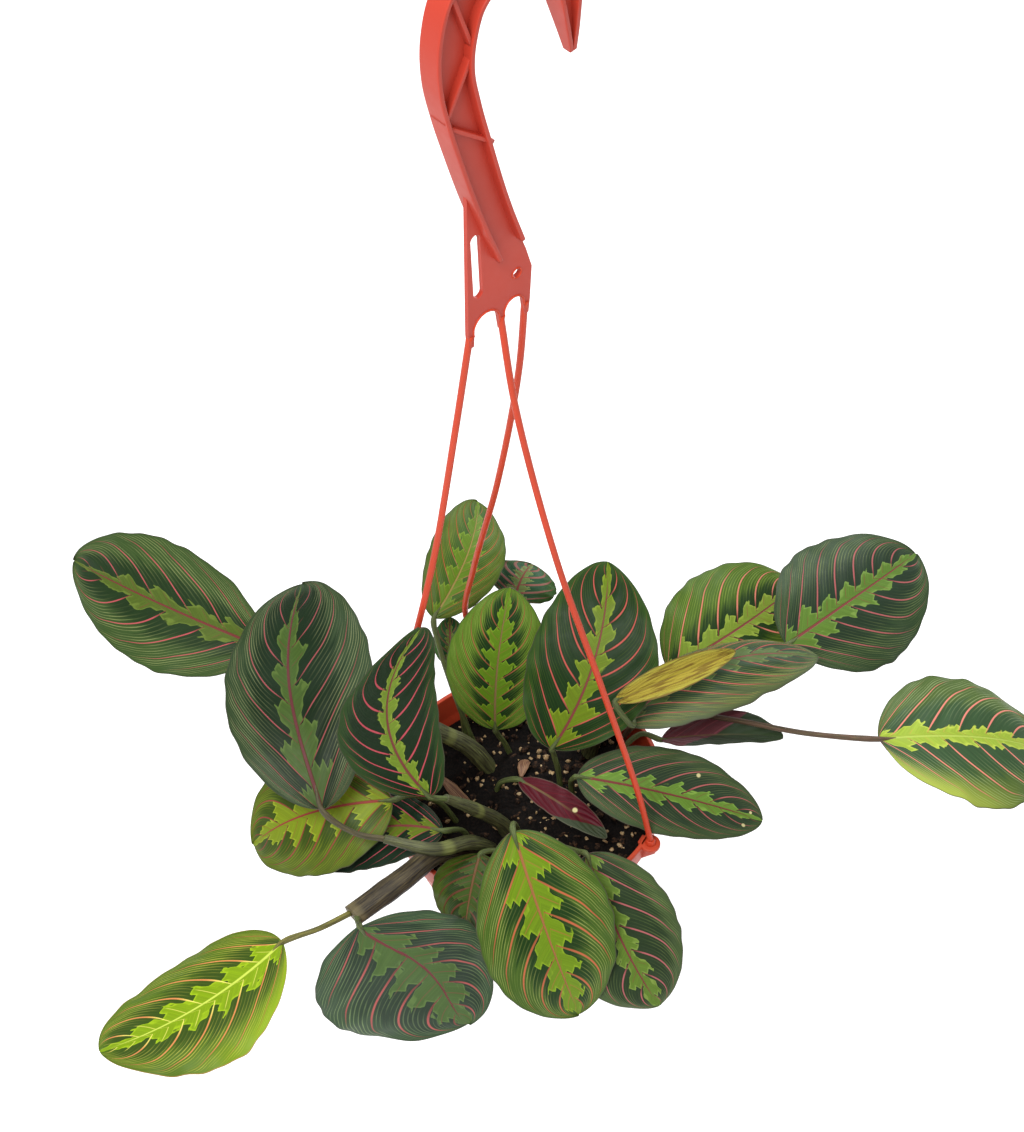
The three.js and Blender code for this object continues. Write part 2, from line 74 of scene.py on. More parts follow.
# A mesh object from points in mm and a list of face arrays. attributes maps a name to one vector per point.
def newPiece(name, points, faces, materials, attributes=None, faceMaterial=None, smooth=True):
    mesh = bpy.data.meshes.new(name)
    mesh.from_pydata(toWorld(points), [], [row for part in faces for row in part.tolist()])
    mesh.polygons.foreach_set("use_smooth", np.full(len(mesh.polygons), smooth))
    for key, values in (attributes or {}).items():
        layer = mesh.attributes.new(key, "FLOAT_VECTOR", "POINT")
        layer.data.foreach_set("vector", np.asarray(values, np.float32).ravel())
    for material in materials:
        mesh.materials.append(material)
    if faceMaterial is not None:
        mesh.polygons.foreach_set("material_index", np.asarray(faceMaterial, np.int32))
    mesh.update()
    piece = bpy.data.objects.new(name, mesh)
    bpy.context.scene.collection.objects.link(piece)
    return piece


# The piece takes the place of one node on the part's only body.
def dress(piece, node):
    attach(piece, "root")
    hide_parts(node)


# Joins (points, faces, attributes) parts into one, moving point numbers up by the points before them.
def joined(parts):
    points, faces, attributes, count = [], [], {}, 0
    for partPoints, partFaces, partAttributes in parts:
        points.append(partPoints)
        faces += [face + count for face in partFaces]
        for key, values in partAttributes.items():
            attributes.setdefault(key, []).append(values)
        count += len(partPoints)
    return np.concatenate(points), faces, {key: np.concatenate(values) for key, values in attributes.items()}


# Quads between neighbouring rows and columns of a grid of points, closed round the columns if wanted.
def gridFaces(rows, columns, closed=False):
    i, j = np.meshgrid(np.arange(rows - 1), np.arange(columns if closed else columns - 1), indexing="ij")
    k = (j + 1) % columns
    a, b = i * columns + j, i * columns + k
    return np.stack([a, b, b + columns, a + columns], -1).reshape(-1, 4)


# Triangles from a middle point to a ring of points: (middle, next, this) closes the ring below it.
def fan(middle, ring, after):
    return np.stack([np.full(len(ring), middle), after, ring], -1)


# Quads round a stack of rings, and a fan at each end on the two points that follow the rings.
def shellFaces(rows, columns):
    ring = np.arange(columns)
    after = (ring + 1) % columns
    first = rows * columns
    top = first - columns
    return [gridFaces(rows, columns, True), fan(first, ring, after), fan(first + 1, top + after, top + ring)]


# Centripetal Catmull-Rom curve through the points: cubic pieces whose end slopes weigh the neighbours by
# the square roots of their distances. steps points are taken evenly in the curve's parameter.
def smoothPath(points, steps):
    knots = np.array(points, float)
    knots = np.vstack([2 * knots[0] - knots[1], knots, 2 * knots[-1] - knots[-2]])
    gaps = np.maximum(np.linalg.norm(np.diff(knots, axis=0), axis=1) ** 0.5, 1e-4)[:, None]
    place = np.linspace(0, len(points) - 1, steps)
    low = np.minimum(place.astype(int), len(points) - 2)
    t = (place - low)[:, None]
    p0, p1, p2, p3 = knots[low], knots[low + 1], knots[low + 2], knots[low + 3]
    g0, g1, g2 = gaps[low], gaps[low + 1], gaps[low + 2]
    m1 = ((p1 - p0) / g0 - (p2 - p0) / (g0 + g1) + (p2 - p1) / g1) * g1
    m2 = ((p2 - p1) / g1 - (p3 - p1) / (g1 + g2) + (p3 - p2) / g2) * g1
    c2 = 3 * (p2 - p1) - 2 * m1 - m2
    c3 = 2 * (p1 - p2) + m1 + m2
    return p1 + m1 * t + c2 * t ** 2 + c3 * t ** 3


# A closed body swept along a path: the ring at each point is centre + across * x + through * y, where (x,
# y) runs round the outline and both vectors carry the half sizes there. The ends are closed by a middle
# point. Its attribute run holds the length so far, the share of the way round and the share of the length.
def swept(path, across, through, outline):
    rings = path[:, None] + across[:, None] * outline[:, :1] + through[:, None] * outline[:, 1:]
    rows, columns = rings.shape[:2]
    length = np.concatenate([[0], np.cumsum(np.linalg.norm(np.diff(path, axis=0), axis=1))])
    along, around = np.broadcast_arrays(length[:, None], (np.arange(columns) / columns)[None])
    run = np.stack([along, around, along / length[-1]], -1).reshape(-1, 3)
    points = np.vstack([rings.reshape(-1, 3), path[:1], path[-1:]])
    return points, shellFaces(rows, columns), {"run": np.vstack([run, [[0, 0, 0], [length[-1], 0, 1]]])}


# A tube: across is level (or given by wide) and square to the path, and through is square to both.
def tube(path, halfAcross, halfThrough, outline, wide=None):
    path = np.asarray(path, float)
    along = unit(np.gradient(path, axis=0))
    across = np.cross(along, upward) if wide is None else np.broadcast_to(wide, path.shape)
    across = np.where(np.linalg.norm(across, axis=-1, keepdims=True) < 0.05, [[1.0, 0, 0]], across)
    across = unit(across - along * (across * along).sum(-1, keepdims=True))
    w = np.broadcast_to(halfAcross, len(path))[:, None]
    h = np.broadcast_to(halfThrough, len(path))[:, None]
    return swept(path, across * w, np.cross(along, across) * h, outline)


# A slab between two edges: across is half the way from the first edge to the second, through the thickness.
def slab(first, second, normal, half, outline):
    path, across = (first + second) / 2, (second - first) / 2
    turn = np.sign((np.cross(across, normal) * np.gradient(path, axis=0)).sum())
    return swept(path, across, normal * turn * np.broadcast_to(half, len(path))[:, None], outline)


# A closed body of revolution about an upright line: the profile of (radius, height) turned round it.
def turned(profile, sides, at=(0, 0)):
    profile, angle = np.array(profile, float), turns(sides)
    r, z = profile[1:-1, :1], profile[1:-1, 1:]
    rings = np.stack([at[0] + r * np.cos(angle), at[1] + r * np.sin(angle), z + 0 * angle], -1)
    points = np.vstack([rings.reshape(-1, 3), [[*at, profile[0, 1]], [*at, profile[-1, 1]]]])
    return points, shellFaces(len(profile) - 2, sides), {"run": points.copy()}


# Rounds the corners of a profile: each inner corner becomes a short quadratic curve that starts and ends a
# distance size (or less on a short side) from it.
def rounded(profile, size, steps=4):
    profile = np.array(profile, float)
    out = [profile[0]]
    t = np.linspace(0, 1, steps)[:, None]
    for before, corner, after in zip(profile[:-2], profile[1:-1], profile[2:]):
        sides = [before - corner, after - corner]
        start, end = [corner + side * min(size / max(np.linalg.norm(side), 1e-6), 0.45) for side in sides]
        out += list((1 - t) ** 2 * start + 2 * t * (1 - t) * corner + t ** 2 * end)
    return np.array(out + [profile[-1]])


# A circle of radius 1 as (cos, sin), started at the angle first.
def circle(sides, first=0):
    return np.stack([np.cos(turns(sides) + first), np.sin(turns(sides) + first)], -1)


# Bars for swept bodies: a square with rounded corners, |cos|^0.22 by |sin|^0.22, and a plain square.
roundedBar = circle(32, 0.0981)
roundedBar = np.sign(roundedBar) * np.abs(roundedBar) ** 0.22
squareBar = np.array([(1, -1), (1, 1), (-1, 1), (-1, -1)])


# A value inside a material: + - * and abs work on it as on a number, and each adds one Math node.
class Field:
    def __init__(self, tree, socket):
        self.tree, self.socket = tree, socket

    def __add__(self, other):
        return calc("ADD", self, other)

    def __sub__(self, other):
        return calc("SUBTRACT", self, other)

    def __rsub__(self, other):
        return calc("SUBTRACT", other, self)

    def __mul__(self, other):
        return calc("MULTIPLY", self, other)

    def __abs__(self):
        return calc("ABSOLUTE", self)


# Links a field to a socket, or sets a number or colour on it.
def feed(value, socket):
    if isinstance(value, Field):
        value.tree.links.new(value.socket, socket)
    else:
        socket.default_value = value


# A node of the given kind and settings in the tree of its first field, with the values fed to its sockets.
def fedNode(kind, values, sockets=None, **settings):
    tree = next(value.tree for value in values if isinstance(value, Field))
    node = tree.nodes.new(kind)
    for key, setting in settings.items():
        setattr(node, key, setting)
    for value, index in zip(values, sockets or range(len(values))):
        feed(value, node.inputs[index])
    return node, tree


# One Math node: the named operation on the values, held between 0 and 1 if clamp is set.
def calc(operation, *values, clamp=False):
    node, tree = fedNode("ShaderNodeMath", values, operation=operation, use_clamp=clamp)
    return Field(tree, node.outputs[0])


# The part of a value after its whole number.
def fraction(value):
    return calc("FRACT", value)


# first where share is 0, second where it is 1, and a blend between.
def mixed(share, first, second):
    node, tree = fedNode("ShaderNodeMix", (share, first, second), (0, 6, 7), data_type="RGBA")
    return Field(tree, node.outputs[2])


# Smooth step: 0 where value is under low, 1 where it is over high. low may be greater than high.
def step(value, low, high):
    node, tree = fedNode("ShaderNodeMapRange", (value, low, high, 0, 1), interpolation_type="SMOOTHSTEP")
    return Field(tree, node.outputs[0])


# The three values as one vector.
def vector(x, y, z):
    node, tree = fedNode("ShaderNodeCombineXYZ", (x, y, z))
    return Field(tree, node.outputs[0])


# Soft noise from 0 to 1 that repeats about scale times in a unit of the vector.
def noise(where, scale, detail=2, rough=0.5):
    node, tree = fedNode("ShaderNodeTexNoise", (where,), ("Vector",))
    node.inputs["Scale"].default_value = scale
    node.inputs["Detail"].default_value = detail
    node.inputs["Roughness"].default_value = rough
    return Field(tree, node.outputs["Fac"])


# The x, y and z of one of the piece's own attributes.
def attributeParts(tree, name):
    node = tree.nodes.new("ShaderNodeAttribute")
    node.attribute_name = name
    split = tree.nodes.new("ShaderNodeSeparateXYZ")
    tree.links.new(node.outputs["Vector"], split.inputs[0])
    return [Field(tree, output) for output in split.outputs]


# Object coordinates, in metres.
def objectPlace(tree):
    return Field(tree, tree.nodes.new("ShaderNodeTexCoord").outputs["Object"])


# A new material with its node tree and its shader.
def newMaterial(name):
    material = bpy.data.materials.new(name)
    material.use_nodes = True
    tree = material.node_tree
    return material, tree, tree.nodes["Principled BSDF"]


# Colour, roughness (a number or a field) and specular level of a shader.
def finish(shader, color, roughness, specular=0.5):
    feed(color, shader.inputs["Base Color"])
    feed(roughness, shader.inputs["Roughness"])
    shader.inputs["Specular IOR Level"].default_value = specular


# Relief: height, from 0 to 1, times distance in mm.
def bump(shader, height, distance, strength):
    node, tree = fedNode("ShaderNodeBump", (height,), ("Height",))
    node.inputs["Strength"].default_value = strength
    node.inputs["Distance"].default_value = distance / 1000
    tree.links.new(node.outputs[0], shader.inputs["Normal"])


# A colour of 0 to 255 (or 0 to 1), made darker or lighter by a factor, as linear light.
def linear(color, factor=1):
    share = np.minimum(np.array(color, float) * factor / (255 if max(color) > 1 else 1), 1)
    return tuple(np.where(share <= 0.04045, share / 12.92, ((share + 0.055) / 1.055) ** 2.4)) + (1.0,)


bladeLook = {"thick": 0.5, "rows": 84, "columns": 48, "ripple": 0.55, "quilt": 0.22, "bend": 0.8,
             "nick": 0.008}
petioleLook = {"radius": 1.5, "ridgeRadius": 0.85, "tipRadius": 0.35, "streak": (58, 60, 36),
               "pale": (150, 160, 84)}

# Each leaf's place as in the solids: the blade's base and tip, its width, how far it rolls, bows, sweeps
# sideways, folds along the rib and droops at the sides, and the points of its petiole.
leafShapes = {
    "leaf_far_left": dict(
        base=(-130, 62, 142), tip=(-233, 128, 140), width=67, roll=-48, bow=12, sweep=-2, fold=0.1, droop=0,
        petiole=[(-56, 29.5, 120.5), (-90, 44, 138)]),
    "leaf_left_large": dict(
        base=(-99, -36, 138), tip=(-110, 92, 155), width=76, roll=-12, bow=18, sweep=1.5, fold=0.12,
        droop=0.1, petiole=[(-69, -44.3, 122), (-84, -43, 127)]),
    "leaf_centre_left": dict(
        base=(-46.5, -37.5, 147.5), tip=(-43.5, -25, 261), width=50, roll=35, bow=-6, sweep=16.5, fold=0.12,
        droop=0.1, petiole=[(-38.5, -33.3, 138), (-43, -36, 143)]),
    "leaf_back_left": dict(
        base=(-42, 61, 161), tip=(-18, 128, 172), width=39, roll=20, bow=10, sweep=-4, fold=0.12, droop=0.1,
        petiole=[(-24, 36, 77), (-32, 42, 110), (-41, 56, 148)]),
    "leaf_back_small": dict(
        base=(-35, 55, 128), tip=(-35, 76, 142), width=18, roll=0, bow=2, sweep=0, fold=0.1, droop=0.1,
        petiole=[(-30, 44, 77), (-32, 48, 108)]),
    "leaf_back": dict(
        base=(-1, 91, 135), tip=(9, 108, 143), width=40, roll=0, bow=5, sweep=0, fold=0.1, droop=0.2,
        petiole=[(-2, 46, 77), (-3, 60, 108), (-4, 80, 128)]),
    "leaf_centre": dict(
        base=(-14, 27, 110), tip=(-3, 61, 182), width=52, roll=10, bow=6, sweep=2, fold=0.14, droop=0.2,
        petiole=[(-6, 31, 77), (-10, 30, 94), (-13, 28, 104)]),
    "leaf_centre_right": dict(
        base=(14, -1, 130), tip=(46, 66, 192), width=64, roll=5, bow=10, sweep=-9, fold=0.12, droop=0.1,
        petiole=[(18, 5, 77), (17, 3, 104), (14.5, 0, 125)]),
    "leaf_back_right": dict(
        base=(75, 38, 138), tip=(148, 103, 122), width=71, roll=22, bow=7, sweep=-3, fold=0.1, droop=0.2,
        petiole=[(56.5, 36, 131), (67, 37, 136)]),
    "leaf_far_right": dict(
        base=(134, 42, 149.5), tip=(211, 110, 134.5), width=74, roll=20, bow=5, sweep=-1, fold=0.1,
        droop=0.3, petiole=[(57.5, 32, 131), (82, 29, 137), (114, 37, 142.5)]),
    "leaf_right_folded": dict(
        base=(51, 6, 139), tip=(148, 29, 155), width=46, roll=-10, bow=16, sweep=3, fold=0.1, droop=0.55,
        petiole=[(45.2, 16.5, 128), (47.4, 12, 134.5)]),
    "leaf_yellow_rolled": dict(
        base=(45, -3, 170), tip=(105, 20, 175), width=15, roll=30, bow=2, sweep=0, fold=0.5, droop=0,
        petiole=[(54, 7.6, 145.2), (54, -3, 150), (51, -8, 159)]),
    "leaf_right_front": dict(
        base=(26, -6, 112), tip=(118, -23.5, 91), width=47, roll=12, bow=4, sweep=0.5, fold=0.15, droop=0,
        petiole=[(25, 1, 77), (23, -1, 98), (24, -5, 109)]),
    "leaf_right_low": dict(
        base=(70, 14, 112), tip=(130, 6, 121), width=32, roll=-20, bow=2, sweep=0, fold=0.3, droop=0,
        petiole=[(42, 8, 77), (47, 14, 98), (60, 19, 111)]),
    "leaf_out_right": dict(
        base=(175, -8, 135), tip=(266, 5, 98), width=78, roll=3, bow=12, sweep=-3, fold=0.1, droop=0.2,
        petiole=[(46, 26, 77), (56, 27, 106), (76, 24, 121), (104, 14, 127), (140, -1, 133)]),
    "leaf_out_left": dict(
        base=(-120, -89, 105), tip=(-206, -135, 91), width=64, roll=4, bow=3, sweep=9, fold=0.1, droop=0.3,
        petiole=[(-87, -77.5, 110), (-102, -84, 108)]),
    "leaf_front_left": dict(
        base=(-81, -94, 124), tip=(-34, -103, 42), width=88, roll=66, bow=0, sweep=-6, fold=0.1, droop=0.2,
        petiole=[(-84, -80, 110), (-82.5, -88, 118)]),
    "leaf_front": dict(
        base=(-7, -56, 141), tip=(21, -108, 56), width=67, roll=8, bow=11, sweep=-3, fold=0.1, droop=0,
        petiole=[(-3, -27, 77), (-5, -33, 108), (-7, -47, 134)]),
    "leaf_front_right": dict(
        base=(28, -54, 115), tip=(61, -101, 48), width=60, roll=20, bow=8, sweep=-3, fold=0.1, droop=0.15,
        petiole=[(12, -30, 77), (15, -38, 98), (24, -50, 112)]),
    "leaf_front_low": dict(
        base=(-24, -43, 102.6), tip=(-33, -84, 96.2), width=38, roll=-8, bow=4, sweep=-1, fold=0.05,
        droop=0, petiole=[(-8, -36, 77), (-14, -37, 95)]),
    "leaf_left_lime": dict(
        base=(-66, -21, 121), tip=(-139, -19, 84), width=62, roll=-32, bow=12, sweep=-5, fold=0.1,
        droop=0.2, petiole=[(-34, -10, 77), (-44, -12, 104), (-58, -18, 120)]),
    "leaf_left_low": dict(
        base=(-42, -35, 113), tip=(-108, -28, 77.5), width=42, roll=-4, bow=8, sweep=-6, fold=0.1,
        droop=0.2, petiole=[(-28, -22, 77), (-33, -28, 102)]),
    "leaf_underside": dict(
        base=(-3, 2, 100), tip=(39, -34, 98), width=17, roll=0, bow=3, sweep=0, fold=0.1, droop=0,
        petiole=[(-16, 8, 77), (-12, 6, 93)]),
}

# The pattern of a usual dark leaf: veins to a side, how far the light zone and the dark patches reach from
# the midrib (0) to the margin (1), and how strong the fine lines and the painted sheen are. The painted
# sheen is a grey veil in soft patches that stands in for light the leaf reflects. glow lightens the margin
# of one side, flecks are scars (along from 0 to 1, mm off the rib, radius), and greenFrom is where a
# turned-over leaf shows its green flap. Each leaf below states only what differs. Colours are 0 to 255.
usualLeaf = dict(
    veins=6, lean=0.26, ribAt=0, lime=0.26, limeBase=0.45, limeTip=0.14, darkReach=0.66, darkness=1,
    blotch=0.2, fine=0.55, lines=6, minor=0.6, veinWidth=1.15, ribWidth=1.7, paintedSheen=0.015, glow=0, glowSide=0,
    stripes=0, flecks=(), flipped=False, greenFrom=2,
    limeColor=(118, 165, 52), limeEdge=(156, 195, 84), darkColor=(20, 46, 32), midColor=(52, 92, 48),
    lineColor=(118, 152, 84), veinColor=(176, 78, 80), veinRoot=(120, 56, 52), ribColor=(122, 60, 56),
    edgeColor=(72, 70, 54), underColor=(104, 52, 66), stripeColor=(98, 66, 24), paintedSheenColor=(130, 150, 140),
    scarColor=(214, 206, 150), underRib=(116, 102, 62), underEdge=(96, 96, 78), stalk=(92, 108, 52),
)
leafLooks = {
    "leaf_far_left": dict(
        veins=5.6, lime=0.19, limeBase=0.28, limeTip=0.06, darkReach=0.5, fine=0.85,
        limeColor=(92, 114, 39), limeEdge=(116, 137, 56), darkColor=(26, 44, 20), midColor=(66, 92, 44),
        lineColor=(150, 160, 100), veinColor=(200, 88, 96), ribColor=(120, 56, 52)),
    "leaf_left_large": dict(
        lean=0.32, ribAt=0.12, lime=0.18, limeBase=0.42, limeTip=0.04, darkReach=0.6, fine=0.7,
        ribWidth=2.2, paintedSheen=0.03, limeColor=(69, 95, 35), limeEdge=(92, 114, 51), darkColor=(14, 30, 12),
        midColor=(52, 72, 42), lineColor=(150, 156, 108), veinColor=(156, 74, 78), veinRoot=(100, 46, 46),
        ribColor=(96, 46, 48), stalk=(92, 80, 54)),
    "leaf_centre_left": dict(
        veins=8, lean=0.16, lime=0.17, limeBase=0.3, limeTip=0.1, darkReach=0.8, fine=0.05, veinWidth=1.25,
        minor=0, limeColor=(127, 156, 42), limeEdge=(152, 175, 63), darkColor=(10, 32, 8),
        midColor=(44, 74, 26), lineColor=(124, 146, 84), veinColor=(204, 80, 94)),
    "leaf_back_left": dict(
        veins=7, lime=0.34, darkReach=0.5, darkness=0.6, fine=0.8, veinWidth=0.7, ribWidth=1.2,
        limeColor=(97, 129, 28), limeEdge=(124, 154, 46), darkColor=(36, 66, 22), midColor=(76, 100, 30),
        lineColor=(148, 156, 58), veinColor=(182, 84, 52), veinRoot=(150, 100, 70),
        ribColor=(142, 122, 66)),
    "leaf_back_small": dict(
        limeColor=(99, 122, 38), limeEdge=(133, 144, 65), darkColor=(20, 60, 26), midColor=(52, 102, 34),
        lineColor=(118, 168, 62), veinColor=(112, 82, 58), veinRoot=(96, 72, 50)),
    "leaf_back": dict(
        veins=5, paintedSheen=0.03, limeColor=(108, 131, 70), limeEdge=(137, 156, 91), darkColor=(30, 62, 40),
        midColor=(48, 82, 34), lineColor=(116, 140, 88), veinColor=(140, 88, 80)),
    "leaf_centre": dict(
        veins=7.5, lime=0.3, limeBase=1.1, darkReach=0.5, blotch=0.35, fine=0.9, veinWidth=0.8,
        ribWidth=1.5, limeColor=(108, 150, 30), limeEdge=(137, 177, 48), darkColor=(22, 46, 16),
        midColor=(98, 134, 40), lineColor=(158, 182, 82), veinColor=(172, 100, 68), veinRoot=(150, 84, 60),
        ribColor=(136, 110, 70)),
    "leaf_centre_right": dict(
        veins=7, lime=0.2, limeBase=0.8, darkReach=0.85, fine=0.25, minor=0.1, limeColor=(112, 137, 25),
        limeEdge=(141, 163, 42), darkColor=(18, 40, 12), midColor=(46, 78, 22), lineColor=(132, 154, 46),
        veinColor=(194, 86, 78)),
    "leaf_back_right": dict(
        veins=7, lime=0.2, darkReach=0.4, fine=0.85, limeColor=(127, 152, 49), limeEdge=(152, 173, 68),
        darkColor=(22, 42, 12), midColor=(78, 108, 28), lineColor=(134, 156, 62),
        veinColor=(220, 126, 108)),
    "leaf_far_right": dict(
        veins=7, lime=0.18, darkReach=0.55, fine=0.7, limeColor=(96, 130, 48), limeEdge=(126, 156, 74),
        darkColor=(28, 42, 28), midColor=(54, 76, 46), lineColor=(130, 144, 86), veinColor=(174, 90, 92)),
    # This leaf's middle green is greyed: partly its own tone, and partly a painted grey-green sheen of
    # reflected light.
    "leaf_right_folded": dict(
        veins=8, lime=0.3, fine=0.8, paintedSheen=0.08, limeColor=(80, 104, 44), limeEdge=(104, 127, 63),
        darkColor=(30, 48, 26), midColor=(86, 100, 62), lineColor=(182, 188, 88), veinColor=(192, 86, 80)),
    "leaf_yellow_rolled": dict(
        veins=4, lean=1.0, lines=9, lime=0.0, limeBase=0.0, limeTip=0.0, darkReach=0.8, darkness=0.5,
        fine=1.0, veinWidth=0.6, ribWidth=0.5, minor=0.0, limeColor=(196, 186, 84),
        limeEdge=(214, 206, 120), darkColor=(140, 120, 40), midColor=(184, 176, 66), lineColor=(96, 66, 26),
        veinColor=(104, 74, 40), veinRoot=(104, 74, 40), ribColor=(150, 128, 66), edgeColor=(110, 86, 46),
        underColor=(186, 172, 92), stripes=0.65),
    "leaf_right_front": dict(
        veins=6.5, lime=0.24, limeBase=0.4, darkReach=0.7, limeColor=(114, 154, 59),
        limeEdge=(142, 182, 80), darkColor=(38, 52, 36), midColor=(68, 88, 54), lineColor=(150, 162, 98),
        veinColor=(192, 104, 104), flecks=((0.62, 13, 1.3), (0.9, -6, 1.2), (0.93, 2, 0.9))),
    "leaf_right_low": dict(flipped=True, midColor=(44, 62, 34), underColor=(124, 66, 72), greenFrom=0.45),
    "leaf_out_right": dict(
        lime=0.14, limeBase=0.3, darkReach=0.55, fine=0.7, glow=0.6, limeColor=(166, 192, 62),
        limeEdge=(196, 210, 84), darkColor=(42, 64, 38), midColor=(84, 108, 50), lineColor=(164, 180, 126),
        veinColor=(238, 136, 122), veinRoot=(190, 150, 70), ribColor=(170, 190, 80), stalk=(104, 72, 54)),
    "leaf_out_left": dict(
        limeBase=0.4, darkReach=0.55, darkness=0.8, fine=0.9, glow=0.55, glowSide=1,
        limeColor=(138, 172, 16), limeEdge=(170, 202, 32), darkColor=(36, 54, 14), midColor=(90, 120, 28),
        lineColor=(188, 186, 76), veinColor=(222, 138, 84), veinRoot=(236, 226, 110),
        ribColor=(196, 214, 84), edgeColor=(170, 130, 70), stalk=(128, 122, 52)),
    "leaf_front_left": dict(
        veins=5.4, ribAt=0.3, lime=0.34, limeBase=0.3, limeTip=0.3, darkReach=0.7, fine=0.75, veinWidth=1.4,
        ribWidth=2.0, paintedSheen=0.05, limeColor=(79, 109, 48), limeEdge=(102, 130, 65), darkColor=(30, 44, 30),
        midColor=(60, 84, 56), lineColor=(140, 164, 108), veinColor=(188, 88, 86), ribColor=(112, 46, 50)),
    "leaf_front": dict(
        lime=0.3, limeBase=0.75, limeTip=0.3, darkReach=0.55, blotch=0.45, fine=0.75, veinWidth=1.5,
        limeColor=(120, 154, 23), limeEdge=(150, 182, 38), darkColor=(22, 46, 12), midColor=(76, 106, 34),
        lineColor=(176, 184, 100), veinColor=(198, 100, 68), veinRoot=(168, 92, 56),
        ribColor=(158, 104, 62)),
    "leaf_front_right": dict(
        lime=0.2, limeTip=0.3, darkReach=0.75, fine=0.35, limeColor=(104, 136, 46), limeEdge=(140, 164, 76),
        darkColor=(32, 46, 26), midColor=(76, 96, 56), lineColor=(166, 186, 102),
        veinColor=(186, 100, 104)),
    "leaf_front_low": dict(
        lime=0.4, fine=0.5, limeColor=(63, 87, 25), limeEdge=(74, 97, 38), darkColor=(26, 42, 8),
        midColor=(64, 80, 14), lineColor=(108, 144, 50), veinColor=(96, 52, 34), veinRoot=(104, 60, 44),
        ribColor=(110, 76, 48)),
    "leaf_left_lime": dict(
        veins=6.5, lime=0.5, limeBase=0.7, darkReach=0.6, darkness=0.85, blotch=0.4, fine=0.3,
        veinWidth=0.9, limeColor=(137, 158, 30), limeEdge=(169, 186, 48), darkColor=(40, 58, 10),
        midColor=(94, 112, 32), lineColor=(192, 210, 38), veinColor=(162, 54, 64), veinRoot=(140, 50, 48),
        ribColor=(150, 62, 52)),
    "leaf_left_low": dict(
        veins=7, lime=0.34, darkReach=0.9, fine=0.1, limeColor=(101, 122, 28), limeEdge=(127, 146, 46),
        darkColor=(12, 30, 16), midColor=(18, 42, 24), lineColor=(90, 118, 42), veinColor=(200, 84, 100)),
    "leaf_underside": dict(
        flipped=True, midColor=(56, 66, 44), underColor=(92, 10, 28), greenFrom=0.8,
        flecks=((0.62, 1.5, 1.6),)),
}


# The half width of a blade as a share of its greatest: sin(pi * u^0.92)^0.55.
def bladeShape(u):
    return np.sin(np.pi * u ** 0.92) ** 0.55


# A blade's base, length and three directions: along it, to its left and out of its upper side. The last two
# are the level and the upright one, turned about the first by the leaf's roll.
def bladeFrame(leaf):
    base, tip = np.array(leaf["base"], float), np.array(leaf["tip"], float)
    along = unit(tip - base)
    level = unit(np.cross(upward, along))
    upright = np.cross(along, level)
    turn = math.radians(leaf["roll"])
    left = level * math.cos(turn) + upright * math.sin(turn)
    normal = upright * math.cos(turn) - level * math.sin(turn)
    return base, np.linalg.norm(tip - base), along, left, normal


# Middle surface of a blade. With s the distance from the midrib, h half the width and a = 4u(1-u):
# base + along * L * u + left * (s + sweep * a) + normal * (bow * a + fold * |s| - droop * s * s / h + lift).
def bladePoint(leaf, u, v, lift=0.0):
    base, length, along, left, normal = bladeFrame(leaf)
    half = leaf["width"] / 2
    s = v * half * bladeShape(u)
    arc = 4 * u * (1 - u)
    rise = leaf["bow"] * arc + leaf["fold"] * np.abs(s) - leaf["droop"] * s * s / half + lift
    return (base + along * (length * u)[..., None] + left * (s + leaf["sweep"] * arc)[..., None]
            + normal * rise[..., None])


# Lifts of the middle surface: a quilted wave across the veins, long ripples at the edge and slow bends, all
# of them sums of sines. nick moves the edge in and out in the same way.
def bladeLifts(look, u, v, start, side, size):
    phases = rng.uniform(0, 2 * np.pi, 6)
    edge = np.abs(v) ** 3
    quilt = np.cos(2 * np.pi * (start * look["veins"] + side)) * np.minimum(np.abs(v) * 5, 1) * (1 - edge)
    ripple = np.sin(19 * u + 3 * np.sign(v) + phases[0]) + 0.6 * np.sin(37 * u + phases[1] + 2 * v)
    bend = np.sin(5 * u + 2.3 * v + phases[2]) + 0.7 * np.sin(9 * u - 3 * v + phases[3])
    lift = (bladeLook["ripple"] * size * edge * ripple + bladeLook["bend"] * size * bend * np.abs(v)
            - bladeLook["quilt"] * quilt)
    nick = 1 + bladeLook["nick"] * edge * (np.sin(31 * u + phases[4]) + np.sin(53 * u + phases[5] + v))
    return lift, nick


